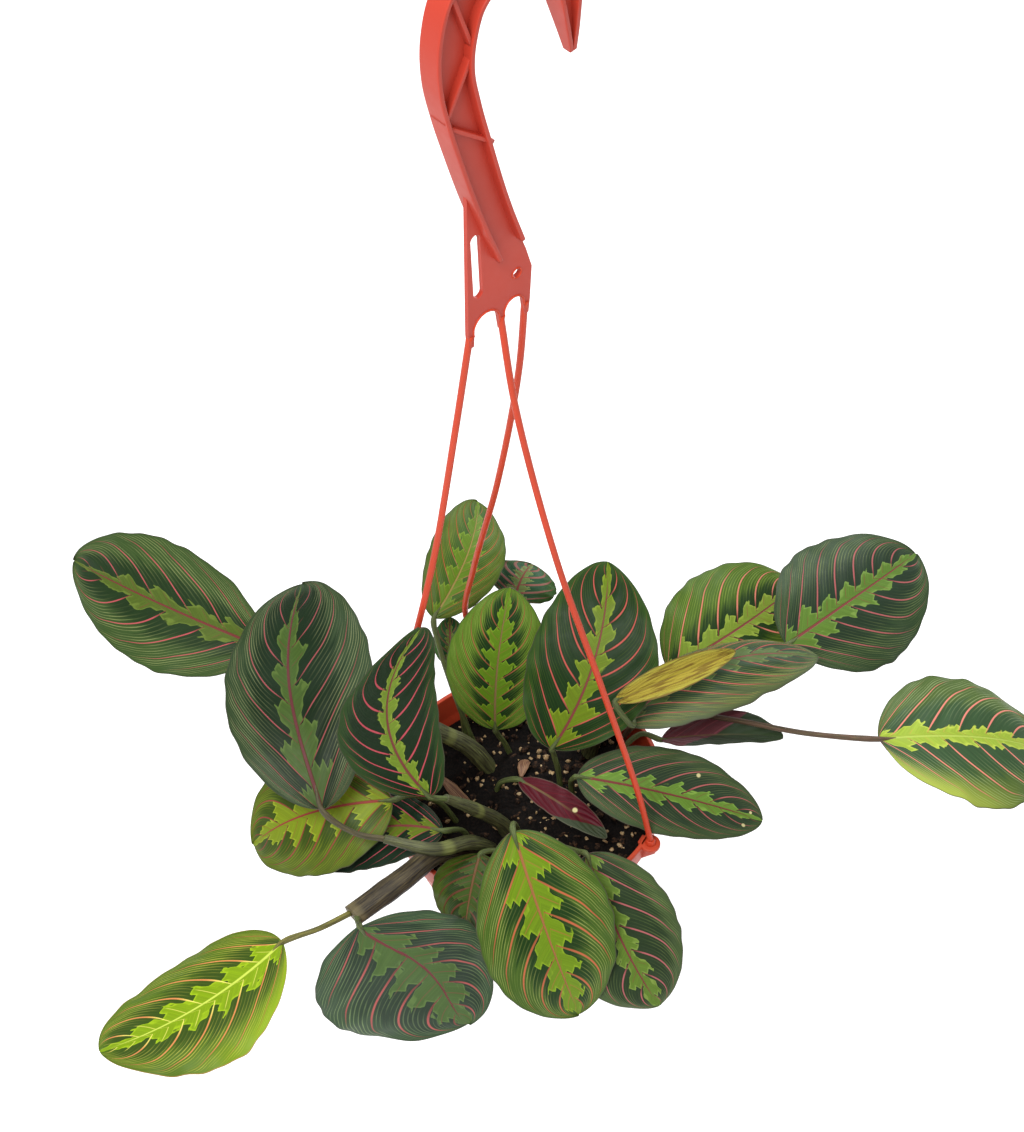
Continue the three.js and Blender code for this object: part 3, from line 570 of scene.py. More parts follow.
# A thin closed blade: the middle surface moved up and down by half the thickness, which falls to nothing at
# the edge. Its attribute vein holds where the side vein through the point leaves the midrib, by the formula
# u - lean|v| - 0.24|v|^3, then the share of the way out and the side. blade holds u, the mm off the midrib
# and the mm to the edge.
def bladeParts(leaf, look):
    rows, columns = bladeLook["rows"], bladeLook["columns"]
    u = (0.5 - 0.5 * np.cos(np.pi * np.arange(1, rows) / rows))[:, None]
    v = np.sin(np.linspace(-1, 1, columns + 1) * np.pi / 2)[None]
    u, v = np.broadcast_arrays(u, v)
    offset = look["ribAt"] * 4 * u * (1 - u)
    across = (v - offset) / (1 - offset * np.sign(v - offset))
    start = u - look["lean"] * np.abs(across) - 0.24 * np.abs(across) ** 3
    lift, nick = bladeLifts(look, u, v, start, (across > 0) * 0.45, leaf["width"] / 60)
    middle = bladePoint(leaf, u, v * nick, lift)
    half = bladeLook["thick"] / 2 * np.sqrt(np.maximum(1 - np.abs(v) ** 8, 0))
    normal = unit(np.cross(np.gradient(middle, axis=0), np.gradient(middle, axis=1)))
    top, under = middle + normal * half[..., None], middle - normal * half[..., None]
    if ((normal * bladeFrame(leaf)[4]).sum(-1) < 0).mean() > 0.5:
        top, under = under, top
    ends = bladePoint(leaf, np.array([0.0, 1.0]), np.array([0.0, 0.0]))
    numberTop = np.arange(top[..., 0].size).reshape(rows - 1, columns + 1)
    base, tip = numberTop.size, numberTop.size + 1
    numberUnder = numberTop.copy()
    numberUnder[:, 1:-1] = tip + 1 + np.arange((rows - 1) * (columns - 1)).reshape(rows - 1, columns - 1)
    faces, sides = [], []
    for number, slot in ((numberTop, 0), (numberUnder, 1)):
        quads = np.stack([number[:-1, :-1], number[:-1, 1:], number[1:, 1:], number[1:, :-1]], -1)
        fans = np.vstack([fan(base, number[0, :-1], number[0, 1:]),
                          fan(tip, number[-1, 1:], number[-1, :-1])])
        for part in (quads.reshape(-1, 4), fans):
            faces.append(part[:, ::-1] if slot == 0 else part)
            sides.append(np.full(len(part), slot))
    halfWidth = leaf["width"] / 2 * bladeShape(u)
    fields = {"vein": np.stack([start, np.abs(across), (across > 0) * 1.0], -1),
              "blade": np.stack([u, across * halfWidth, halfWidth * (1 - np.abs(v))], -1)}
    atEnds = [[0, 0, 0], [1, 0, 0]]
    attributes = {key: np.vstack([values.reshape(-1, 3), atEnds, values[:, 1:-1].reshape(-1, 3)])
                  for key, values in fields.items()}
    attributes["run"] = np.zeros_like(attributes["vein"])
    points = np.vstack([top.reshape(-1, 3), ends, under[:, 1:-1].reshape(-1, 3)])
    return points, faces, attributes, np.concatenate(sides)


# The petiole follows its points to the blade and goes on under the midrib as a ridge that thins to the tip.
def petioleParts(leaf):
    sink = -0.35 - 0.4 * np.arange(5, 0, -1) / 5
    ridge = bladePoint(leaf, np.array([0.1, 0.3, 0.5, 0.7, 0.9]), np.zeros(5), sink)
    knots = list(leaf["petiole"]) + [leaf["base"]] + [tuple(point) for point in ridge]
    steps = 14 * len(knots)
    joint = len(leaf["petiole"])
    thick = petioleLook["radius"]
    at = [0, joint - 0.7, joint - 0.2, joint + 0.5, len(knots) - 1]
    radii = [thick, thick * 0.92, thick * 1.08, petioleLook["ridgeRadius"], petioleLook["tipRadius"]]
    radius = np.interp(np.linspace(0, len(knots) - 1, steps), at, radii)
    points, faces, attributes = tube(smoothPath(knots, steps), radius, radius, circle(14))
    attributes.update(vein=np.zeros_like(points), blade=np.zeros_like(points))
    return points, faces, attributes


# What a leaf's pattern is drawn from. q counts the side veins from the base, so that the whole numbers are
# main veins, and p counts them straight along the midrib. cell is the number of a space between two veins,
# and chance is its own lot. out runs from the midrib (0) to the margin (1).
def veinMap(tree, look, seed):
    m = SimpleNamespace(place=objectPlace(tree))
    m.start, m.out, m.side = attributeParts(tree, "vein")
    m.u, m.s, m.toEdge = attributeParts(tree, "blade")
    wander = (noise(m.place, 26, 1) - 0.5) * 0.4
    first = m.side * 0.45 + (0.15 + seed % 3 * 0.1) + wander
    m.q = m.start * look["veins"] + first
    m.p = m.u * look["veins"] + first
    m.cell = m.side * 17 + calc("FLOOR", m.q)
    m.chance = noise(vector(m.cell, seed, 0), 3.7, 0)
    m.fromVein = abs(fraction(m.q + 0.5) - 0.5)
    m.fromMiddle = abs(fraction(m.q) - 0.5)
    m.streak = noise(vector(m.q * 5, m.out * 1.3, m.side), 1.6, 3)
    m.streaks = noise(vector(m.q * 14, m.out, 3), 1.2, 2)
    return m


# The light zone and its pale rim. It holds one leaflet to each space, within a reach of the midrib, where q
# and p are in the same space, so it ends at the vein on one side and in a toothed step on the other.
def limeZone(m, look, seed):
    reach = step(m.u, 0.36, 0.04) * (look["limeBase"] - look["lime"]) + look["lime"]
    reach = step(m.u, 0.62, 0.92) * (look["limeTip"] - look["lime"]) + reach
    rough = noise(vector(m.out * 16, m.cell, seed), 1, 1)
    topTeeth = calc("PINGPONG", m.out * 7 + m.chance, 0.5) * (rough * 1.6 + 0.1)
    straight = m.p - topTeeth * 0.42 - (m.out * -0.35 + 0.1)
    along = fraction(straight)
    same = calc("SUBTRACT", 1, calc("FLOOR", straight) - calc("FLOOR", m.q), clamp=True)
    notch = fraction(m.q * -3.4 + m.chance)
    sideTeeth = calc("MINIMUM", notch * 1.3, (1 - notch) * 4.3)
    corner = step(m.fromMiddle, 0.16, 0) * 0.18
    edgeAt = reach * (sideTeeth * 0.2 + (m.chance * 0.4 + 0.12) + (along * 0.85 + corner))
    inside = edgeAt + (noise(m.place, 170, 2) * 0.06 - 0.03) - m.out
    zone = step(inside, -0.007, 0.007) * same
    rim = calc("MAXIMUM", step(inside, 0.045, 0), step(along, 0.88, 1) * step(m.out, 0.05, 0.12))
    return zone, zone * rim


# Dark patches reach out from the midrib, furthest between two veins, and end in streaks along the veins.
def darkPatches(m, look):
    end = m.streak * 0.5 + (look["darkReach"] - 0.22)
    end = calc("POWER", m.fromMiddle * 2, 1.6) * (-look["blotch"] * look["darkReach"]) + end
    return step(m.out, end + 0.13, end - 0.13) * look["darkness"] * step(m.u, 1, 0.9)


# Fine pale lines beside the veins, lines of them to a space, each of its own strength.
def fineLines(m, look):
    count = m.q * look["lines"]
    strength = noise(vector(calc("FLOOR", count), m.out * 1.4, m.side), 2.1, 2)
    lines = step(abs(fraction(count) - 0.5), 0.3, 0.44) * step(strength, 0.36, 0.62)
    return lines * (step(m.toEdge, 0.6, 2.5) * look["fine"]) * step(m.out, 0.18, 0.6)


# Main veins, widest in the middle of their way out, and thin ones in some of the spaces between. A width in
# mm becomes a share of the space between two veins. Gives the colour with both on it, and the main veins.
def sideVeins(m, look, color):
    width = look["veinWidth"] * look["veins"] / look["length"]
    half = step(m.out, 0.02, 0.3) * step(m.out, 1, 0.6) * (width * 0.34) + width * 0.2
    fade = step(m.out, 0.96, 0.8) * step(m.u, 1, 0.93)
    vein = step(m.fromVein, half * 1.3, half * 0.6) * (fade * 0.85 + 0.05)
    tone = mixed(step(m.out, look["lime"] * 0.5, look["lime"] * 1.4), linear(look["veinRoot"]),
                 linear(look["veinColor"]))
    tone = mixed(step(m.out, 0.6, 0.95) * 0.5, tone, linear(look["veinColor"], 0.6))
    thin = step(m.fromMiddle, width * 0.3, width * 0.1) * (step(m.chance, 0.38, 0.5) * look["minor"])
    thin = thin * step(m.out, look["lime"] * 1.2, look["lime"] * 0.9)
    return mixed(vein, mixed(thin, color, linear(look["veinRoot"])), tone), vein


# Small pale scars: each lies at along on the blade and off mm beside the midrib, and has a radius in mm.
def flecked(m, look, color):
    for along, off, radius in look["flecks"]:
        first = calc("POWER", abs((m.u - along) * look["length"]), 2)
        away = calc("SQRT", first + calc("POWER", abs(m.s - off), 2))
        color = mixed(step(away, radius, 0.6 * radius), color, linear(look["scarColor"]))
    return color


# The upper side: middle green with dark patches and fine lines, a lighter margin, the light zone over them,
# then the stripes of a dying leaf, veins, the midrib, the edge, a painted grey sheen that stands in for
# reflected light, and scars.
def bladeMaterial(name, look, seed):
    material, tree, shader = newMaterial(name)
    m = veinMap(tree, look, seed)
    lime, limeRim = limeZone(m, look, seed)
    dark, lines = darkPatches(m, look), fineLines(m, look)
    ground = mixed(m.streaks * 0.7, linear(look["midColor"]), linear(look["midColor"], 0.66))
    darkTone = mixed(m.streak, linear(look["darkColor"]), linear(look["darkColor"], 1.4))
    color = mixed(dark, ground, darkTone)
    color = mixed(lines * (dark * -0.35 + 0.9), color, linear(look["lineColor"]))
    glow = step(m.out, 0.55, 1) * step(m.u, 0.8, 0.2) * step(abs(m.side - look["glowSide"]), 0.6, 0.4)
    color = mixed(glow * look["glow"], color, linear(look["limeEdge"]))
    limeTone = mixed(m.streaks * 0.7, linear(look["limeColor"]), linear(look["limeColor"], 0.62))
    color = mixed(lime, color, mixed(limeRim * 0.65, limeTone, linear(look["limeEdge"])))
    bands = step(noise(vector(m.u * 5, m.s, 0), 0.75, 2), 0.5, 0.6)
    color = mixed(bands * look["stripes"], color, linear(look["stripeColor"]))
    color, vein = sideVeins(m, look, color)
    ribHalf = m.u * (-0.36 * look["ribWidth"]) + 0.5 * look["ribWidth"]
    rib = step(abs(m.s), ribHalf * 1.2, ribHalf * 0.6) * step(m.u, 0.97, 0.8)
    color = mixed(rib, color, linear(look["ribColor"]))
    color = mixed(step(m.toEdge, 0.7, 0.25) * 0.75, color, linear(look["edgeColor"]))
    # Painted sheen: soft patches greyed towards a pale blue-grey, standing in for light the leaf reflects.
    sheenCloud = step(noise(m.place, 22, 3), 0.35, 0.75)
    color = mixed(sheenCloud * look["paintedSheen"], color, linear(look["paintedSheenColor"]))
    finish(shader, flecked(m, look, color), noise(m.place, 300, 2) * 0.18 + 0.36, 0.14)
    bump(shader, lines * 0.25 + m.streaks * 0.35 + vein * 0.5 - rib * 1.2, 0.35, 0.6)
    return material


# The under side: one wine or green tone with a paler rib, faint side veins and, on some, a green flap.
def undersideMaterial(name, look):
    material, tree, shader = newMaterial(name)
    m = SimpleNamespace()
    m.start, m.out, m.side = attributeParts(tree, "vein")
    m.u, m.s, m.toEdge = attributeParts(tree, "blade")
    q = m.start * look["veins"] + m.side * 0.45
    fromVein = abs(fraction(q + 0.5) - 0.5)
    streaks = noise(vector(q * 12, m.out, 1), 1.4, 2)
    color = mixed(streaks, linear(look["underColor"]), linear(look["underColor"], 0.7))
    color = mixed(step(fromVein, 0.09, 0.02) * 0.4, color, linear(look["underColor"], 1.35))
    fold = m.u + m.s * (-0.3 / look["halfWidth"])
    flap = step(fold, look["greenFrom"] - 0.01, look["greenFrom"] + 0.01)
    color = mixed(flap, color, linear(look["midColor"]))
    rib = step(abs(m.s), 0.9, 0.4) * step(m.u, 0.95, 0.1)
    color = mixed(rib * 0.7, color, linear(look["underRib"]))
    color = mixed(step(m.toEdge, 0.7, 0.25) * 0.6, color, linear(look["underEdge"]))
    finish(shader, flecked(m, look, color) if look["flipped"] else color, 0.5, 0.2)
    bump(shader, streaks * 0.6, 0.3, 0.5)
    return material


# Fibres that run along a stem: noise on a cylinder, stretched along the run, with darker grooves, paler
# strands, dark patches and a pale ring at the joint, which is a share of the length.
def fibreMaterial(name, color, streak, pale, joint=None):
    material, tree, shader = newMaterial(name)
    run, turn, share = attributeParts(tree, "run")
    angle = turn * (2 * math.pi)
    fibre = noise(vector(calc("COSINE", angle) * 2.6, calc("SINE", angle) * 2.6, run * 0.035), 2.6, 3, 0.6)
    tone = mixed(step(fibre, 0.35, 0.58), linear(streak), linear(color))
    tone = mixed(step(fibre, 0.6, 0.78), tone, linear(pale))
    patches = noise(objectPlace(tree), 60, 2)
    tone = mixed(step(patches, 0.5, 0.75) * 0.45, tone, linear(streak))
    if joint is not None:
        tone = mixed(step(abs(share - joint), 0.06, 0.01) * 0.5, tone, linear(pale))
    finish(shader, tone, 0.55)
    bump(shader, fibre, 0.6, 0.7)
    return material


for index, (name, shape) in enumerate(leafShapes.items()):
    look = {**usualLeaf, **leafLooks[name], "halfWidth": shape["width"] / 2}
    look["length"] = float(np.linalg.norm(np.subtract(shape["tip"], shape["base"])))
    upper = bladeMaterial(name + "Upper", look, index)
    under = undersideMaterial(name + "Under", look)
    stalk = fibreMaterial(name + "Stalk", look["stalk"], petioleLook["streak"], petioleLook["pale"])
    *blade, sides = bladeParts(shape, look)
    petiole = petioleParts(shape)
    points, faces, attributes = joined([blade, petiole])
    petioleSides = np.full(sum(len(part) for part in petiole[1]), 2)
    materials = [under if look["flipped"] else upper, under, stalk]
    faceMaterial = np.concatenate([sides, petioleSides])
    piece = newPiece(name + "_look", points, faces, materials, attributes, faceMaterial)
    dress(piece, name)
print("leaves", len(leafShapes))


# Stems with their sheaths: points, half sizes (across, through) at the points, and colours.
olive = dict(color=(86, 90, 52), streak=(46, 46, 28), pale=(142, 150, 80), joint=0.62)
brown = dict(color=(74, 64, 42), streak=(32, 26, 20), pale=(124, 112, 74), joint=0.99)
dry = dict(color=(150, 112, 80), streak=(96, 62, 44), pale=(206, 176, 132))
stems = {
    "stem_left_upper": dict(points=[(-8, -17, 77), (-14, -20, 96), (-28, -28, 122), (-39, -33.5, 139)],
                            sizes=[(4.5, 4.5), (4.5, 3.5), (3.8, 3), (2, 2)], look=olive),
    "stem_left_middle": dict(points=[(-16, -27, 77), (-28, -38, 106), (-46, -49, 118.5), (-70, -44, 122)],
                             sizes=[(4, 4), (4, 3.2), (3.4, 3), (2, 2)], look=olive),
    "stem_front_left": dict(
        points=[(-24, -32, 77), (-35, -38, 98), (-47, -47, 109), (-62, -60, 110), (-86, -79, 110)],
        sizes=[(4, 4), (4.5, 4), (5, 4.5), (6, 4.5), (6, 3.5)], look=brown),
    "stem_back_left": dict(points=[(-16, 22, 77), (-28, 25, 98), (-43, 26, 112), (-57, 29.5, 121)],
                           sizes=[(4.5, 4.5), (5, 4), (4.5, 3.5), (2.2, 2.2)], look=olive),
    "stem_right": dict(points=[(33, 30, 77), (38, 25, 105), (43, 17.5, 130)],
                       sizes=[(4.5, 4.5), (4, 3), (2, 2)], look=olive),
    "stem_back_right": dict(points=[(36, 40, 77), (46, 38, 108), (57, 34, 133)],
                            sizes=[(4.5, 4.5), (4, 3), (2.4, 2.4)], look=olive),
    "dry_sheath_left": dict(points=[(-26, -7, 77), (-31, -2, 86), (-38, 4, 93), (-44, 10, 96)],
                            sizes=[(2.5, 2.5), (3.4, 1.2), (3, 1), (0.8, 0.8)], look=dry),
    "dry_sheath_back": dict(points=[(1, 28, 77), (0, 22, 86), (-1, 15, 91), (-2, 9, 92)],
                            sizes=[(2.5, 2.5), (3, 1.2), (2.6, 1), (0.8, 0.8)], look=dry),
}

# A stem is a tube with shallow ribs. Its outline is a circle of radius 1 + 0.035 cos(9 angle + 1)
# + 0.02 cos(17 angle), and it swells a little where its sheaths end.
stemOutline = circle(48) * (1 + 0.035 * np.cos(9 * turns(48) + 1) + 0.02 * np.cos(17 * turns(48)))[:, None]
for name, stem in stems.items():
    at = np.linspace(0, 1, 90)
    knots = np.linspace(0, 1, len(stem["points"]))
    swell = 1 + 0.05 * np.sin(at * 14 + len(name)) ** 8
    across, through = [np.interp(at, knots, sizes) * swell for sizes in zip(*stem["sizes"])]
    points, faces, attributes = tube(smoothPath(stem["points"], len(at)), across, through, stemOutline)
    material = fibreMaterial(name + "Fibre", **stem["look"])
    dress(newPiece(name + "_look", points, faces, [material], attributes), name)
print("stems", len(stems))


# The soil's colour is near black: a dark soil, darkened further by painted shade from the leaves over it.
soilLook = {"radius": 63.6, "footRadius": 45, "floor": 5.3, "top": 82, "mound": 2, "color": (8, 6, 5),
            "pale": (26, 19, 14)}
# Loose grains: how many, sizes in mm, the greatest stretch, and the dark and pale tone.
grainLook = {
    "soil_perlite": dict(count=260, sizes=(0.25, 1.5), stretch=1.3, color=(150, 122, 84),
                         pale=(206, 186, 148)),
    "soil_bark": dict(count=270, sizes=(0.6, 1.9), stretch=2.2, color=(28, 21, 17), pale=(84, 60, 42)),
}


# A matt mineral or bark finish: two tones by fine noise, and a fine relief.
def grainMaterial(name, color, pale):
    material, tree, shader = newMaterial(name)
    place = objectPlace(tree)
    finish(shader, mixed(step(noise(place, 900, 3), 0.4, 0.75), linear(color), linear(pale)), 0.9, 0.15)
    bump(shader, noise(place, 1400, 3), 0.3, 0.8)
    return material


# Lumps of the soil: a sum of size * sin(ax + by + 3k) * cos(bx - ay + k), for the k-th of six waves.
def lumps(x, y):
    waves = [(0.21, 0.13, 0.9), (0.35, -0.27, 0.7), (-0.5, 0.44, 0.55), (0.9, 0.75, 0.4), (1.3, -1.1, 0.3),
             (2.1, 1.7, 0.22)]
    return sum(size * np.sin(a * x + b * y + 3 * k) * np.cos(b * x - a * y + k)
               for k, (a, b, size) in enumerate(waves))


# Height of the soil: top + mound * (1 - (r/R)^4) + share * lumps, where share is 1 or as given.
def soilHeight(x, y, share=1):
    away = np.hypot(x, y) / soilLook["radius"]
    return soilLook["top"] + soilLook["mound"] * (1 - away ** 4) + lumps(x, y) * share


radii = np.linspace(0, soilLook["radius"], 60)[:0:-1]
foot, low = soilLook["footRadius"], soilLook["floor"]
profile = [(0, low), (foot, low), (foot + 0.4, low + 0.5)] + [(r, 0) for r in radii] + [(0, 0)]
points, faces, attributes = turned(profile, 200)
surface = points[:, 2] == 0
x, y = points[surface, 0], points[surface, 1]
points[surface, 2] = soilHeight(x, y, np.clip((soilLook["radius"] - np.hypot(x, y)) / 4, 0, 1))
soilMaterial = grainMaterial("soilDarkWithShade", soilLook["color"], soilLook["pale"])
dress(newPiece("soil_look", points, faces, [soilMaterial], attributes), "soil")


# Small stones: a ball whose radius is 1 + 0.22 times three sines of its direction, stretched, turned about
# the upright and set on the soil at random.
def scattered(count, sizes, stretch, seed):
    chance = np.random.default_rng(seed)
    tilt = np.linspace(-np.pi / 2, np.pi / 2, 7)[1:-1, None, None]
    rings = np.concatenate([np.cos(tilt) * circle(10), np.tile(np.sin(tilt), (1, 10, 1))], -1)
    ball = np.vstack([rings.reshape(-1, 3), [[0, 0, -1], [0, 0, 1]]])
    reach = np.sqrt(chance.uniform(0, 1, count)) * (soilLook["radius"] - 3)
    turn = chance.uniform(0, 2 * np.pi, count)
    x, y = reach * np.cos(turn), reach * np.sin(turn)
    size = chance.uniform(*sizes, count)
    z = soilHeight(x, y) + 0.1 * size
    phase = chance.uniform(0, 6.28, (count, 3))
    wobble = 1 + 0.22 * np.sin(np.array([3, 4, 5]) * ball + phase[:, None]).sum(-1, keepdims=True)
    scale = [chance.uniform(*limits, (count, 1, 1)) for limits in ((0.7, stretch), (0.6, 1), (0.5, 0.8))]
    shape = ball * wobble * size[:, None, None] * np.concatenate(scale, -1)
    spin = chance.uniform(0, 2 * np.pi, count)[:, None]
    points = np.stack([shape[..., 0] * np.cos(spin) - shape[..., 1] * np.sin(spin) + x[:, None],
                       shape[..., 0] * np.sin(spin) + shape[..., 1] * np.cos(spin) + y[:, None],
                       shape[..., 2] + z[:, None]], -1)
    shift = (np.arange(count) * len(ball))[:, None, None]
    return points.reshape(-1, 3), [(face + shift).reshape(-1, face.shape[1]) for face in shellFaces(5, 10)]


for name, grain in grainLook.items():
    points, faces = scattered(grain["count"], grain["sizes"], grain["stretch"], len(name))
    material = grainMaterial(name[5:], grain["color"], grain["pale"])
    dress(newPiece(name, points, faces, [material]), "soil")
print("soil")


# Under each ear stands a wedge from wedgeIn to wedgeOut, which reaches out by wedgeReach more at its top.
potLook = {
    "height": 100, "rimRadius": 70, "rimWidth": 2.4, "bandHeight": 15, "bandTaper": 1.4, "bandStep": 1.6,
    "footRadius": 45, "footRing": 8, "recess": 3, "floor": 5, "wall": 1.8,
    "earAngles": (-33, 97, 182), "earRadius": 5, "earAt": 72, "earThick": 2.5,
    "wedgeDrop": 14, "wedgeRise": 11.5, "wedgeHalf": 2.75, "wedgeIn": 66.2, "wedgeOut": 68.1,
    "wedgeReach": 8.1, "color": (206, 74, 44), "roughness": 0.45,
}


# Moulded plastic: a cloudy tone, and fine scuffs in roughness and relief.
def plasticMaterial(name, color, roughness):
    material, tree, shader = newMaterial(name)
    place = objectPlace(tree)
    tone = mixed(noise(place, 18, 3), linear(color), linear(color, 0.86))
    scuff = noise(place, 240, 3)
    finish(shader, tone, scuff * 0.18 + (roughness - 0.09), 0.3)
    bump(shader, scuff, 0.06, 0.4)
    return material


# An ear: a flat disc on the rim, and the wedge under it, a bar whose depth grows in a line from its foot.
def earParts(degrees):
    outward, sideways = outwardAt(degrees)
    top, radius = potLook["height"], potLook["earRadius"]
    foot = top - potLook["earThick"]
    disc = [(0, foot), (radius - 0.4, foot), (radius, foot + 0.4), (radius, top - 0.4), (radius - 0.4, top),
            (0, top)]
    z = np.linspace(top - potLook["wedgeDrop"], top - 0.5, 24)
    grow = np.clip((z - z[0]) / potLook["wedgeRise"], 0, 1)
    near = potLook["wedgeIn"]
    far = np.maximum(potLook["wedgeOut"] + grow * potLook["wedgeReach"], near + 0.5)
    path = outward * ((near + far) / 2)[:, None] + upward * z[:, None]
    return [turned(rounded(disc, 0.3), 48, outward[:2] * potLook["earAt"]),
            tube(path, potLook["wedgeHalf"], (far - near) / 2, roundedBar, sideways)]


# The wall's profile, from the middle of the foot up the outside, over the rim and down the inside.
def potProfile():
    top, rim, foot = potLook["height"], potLook["rimRadius"], potLook["footRadius"]
    bandZ, bandFoot = top - potLook["bandHeight"], rim - potLook["bandTaper"]
    wallTop = bandFoot - potLook["bandStep"]
    ring, recess, floor = potLook["footRing"], potLook["recess"], potLook["floor"]
    inside = foot + (wallTop - foot) * floor / bandZ - potLook["wall"]
    rimInside = rim - potLook["rimWidth"]
    return [(0, recess), (foot - ring, recess), (foot - ring + 1, 0), (foot - 0.8, 0), (foot, 1),
            (wallTop, bandZ), (bandFoot, bandZ + 1), (rim, top - 0.8), (rim - 0.4, top),
            (rimInside + 0.3, top), (rimInside, top - 0.4), (bandFoot - 2, bandZ), (inside, floor),
            (0, floor)]


parts = [turned(rounded(potProfile(), 0.5), 200)]
for degrees in potLook["earAngles"]:
    parts += earParts(degrees)
points, faces, attributes = joined(parts)
potPlastic = plasticMaterial("potPlastic", potLook["color"], potLook["roughness"])
dress(newPiece("pot_look", points, faces, [potPlastic], attributes), "pot")
print("pot")


# The hook's own colour is the hanger's plastic, greyed by painted sheen.
hangerLook = {
    "depth": 10, "web": 2, "wall": 2, "ribHalf": 0.9, "strandRadius": 1.5, "legs": (-2, 11, -18),
    "legTop": 426, "gap": 0.3, "collarRadius": 2.8, "collarTip": 2, "collarHeight": 2.4, "pinRadius": 1.5,
    "pinDrop": 5, "color": (212, 68, 36), "hookSheenColor": (200, 66, 48), "roughness": 0.45,
}
# The hook's channel from the plate over the top to the tip: (along the plate, up, half width). Then its ribs
# and the strands' routes from the legs to the ears.
channel = [(1.6, 461, 7.1), (-4, 479, 7.3), (-8.2, 494, 7.6), (-14, 518, 8), (-18, 536, 8.2),
           (-20.5, 553, 8.4), (-19, 568, 9.1), (-13.4, 581.5, 9.6), (0, 591.5, 10), (16, 592.5, 9.5),
           (28, 582.5, 8), (32.8, 568, 6), (34.6, 555, 4.5), (36, 544, 3.1), (37, 534, 1.7)]
hookRibs = [((-25, 534), (-4.5, 516.5)), ((-26, 536), (-11.5, 560)), ((-11.5, 561), (-21, 591)),
            ((-8, 600), (6, 583)), ((21, 601), (9, 583)), ((27, 600), (24, 574)), ((25, 573), (41, 571))]
strandRoutes = [
    [(3, -6, 378), (18, -14, 290), (37, -22, 208), (55, -32, 130)],
    [(5, 12, 382), (-6, 27, 299), (-20, 47, 215), (-26, 62, 160), (-18, 70, 124)],
    [(-22, -12, 374), (-35, -12, 296), (-45, -16, 252), (-60, -11, 185), (-70, -4, 132)],
]


# The points s along the plate and z up.
def onPlate(s, z):
    return plateAlong * np.asarray(s, float)[..., None] + upward * np.asarray(z, float)[..., None]


# The slab between two lines of (s, z) on the plate, of a half thickness across it.
def plateSlab(first, second, half, outline=roundedBar):
    return slab(onPlate(*first.T), onPlate(*second.T), plateNormal, half, outline)


# The hook is an open channel: a flange on either side of its middle line, a web between them, and ribs.
def hookParts():
    steps = 220
    line = smoothPath([(s, z, 0) for s, z, w in channel], steps)[:, :2]
    half = smoothPath([(i, w, 0) for i, (s, z, w) in enumerate(channel)], steps)[:, 1:2]
    depth = hangerLook["depth"] / 2 * np.interp(np.arange(steps), [0, steps * 0.84, steps], [1, 1, 0.4])
    slope = unit(np.gradient(line, axis=0))
    side = np.stack([-slope[:, 1], slope[:, 0]], -1)
    flangeIn = np.maximum(half - hangerLook["wall"], 0)
    parts = [plateSlab(line + sign * side * half, line + sign * side * flangeIn, depth) for sign in (1, -1)]
    parts.append(plateSlab(line + side * (half - 0.6), line - side * (half - 0.6), hangerLook["web"] / 2))
    for start, end in hookRibs:
        path = onPlate(*np.linspace(start, end, 8).T)
        parts.append(tube(path, hangerLook["depth"] / 2 - 1, hangerLook["ribHalf"], roundedBar, plateNormal))
    return parts


# A strand from its leg to its ear, with a collar on the ear and a pin in the ear's hole.
def strandParts(route, leg, degrees):
    foot = outwardAt(degrees)[0] * potLook["earAt"] + upward * (potLook["height"] + hangerLook["gap"])
    path = smoothPath([onPlate(leg, hangerLook["legTop"]), *route, foot + upward * 1.9], 140)
    z, tall, pin = foot[2], hangerLook["collarHeight"], hangerLook["pinRadius"]
    collar = [(0, z), (hangerLook["collarRadius"], z), (hangerLook["collarTip"], z + tall), (0, z + tall)]
    low = z - hangerLook["pinDrop"]
    return [tube(path, hangerLook["strandRadius"], hangerLook["strandRadius"], circle(20)),
            turned(rounded(collar, 0.4), 40, foot[:2]),
            turned(rounded([(0, low), (pin, low), (pin, z + 0.5), (0, z + 0.5)], 0.3), 24, foot[:2])]


parts = hookParts()
hookCount = sum(len(face) for part in parts for face in part[1])
for route, leg, degrees in zip(strandRoutes, hangerLook["legs"], potLook["earAngles"]):
    parts += strandParts(route, leg, degrees)
points, faces, attributes = joined(parts)
plastics = (np.arange(sum(len(face) for face in faces)) < hookCount) * 1
hangerPlastic = plasticMaterial("hangerPlastic", hangerLook["color"], hangerLook["roughness"])
# The hook and plate are one moulded plastic with the strands. Their greyer copy of it is a painted sheen,
# standing in for the light their broad faces reflect.
hookSheenPlastic = plasticMaterial("hookSheenPlastic", hangerLook["hookSheenColor"], hangerLook["roughness"])
dress(newPiece("hanger_look", points, faces, [hangerPlastic, hookSheenPlastic], attributes, plastics), "hanger")
print("hanger")


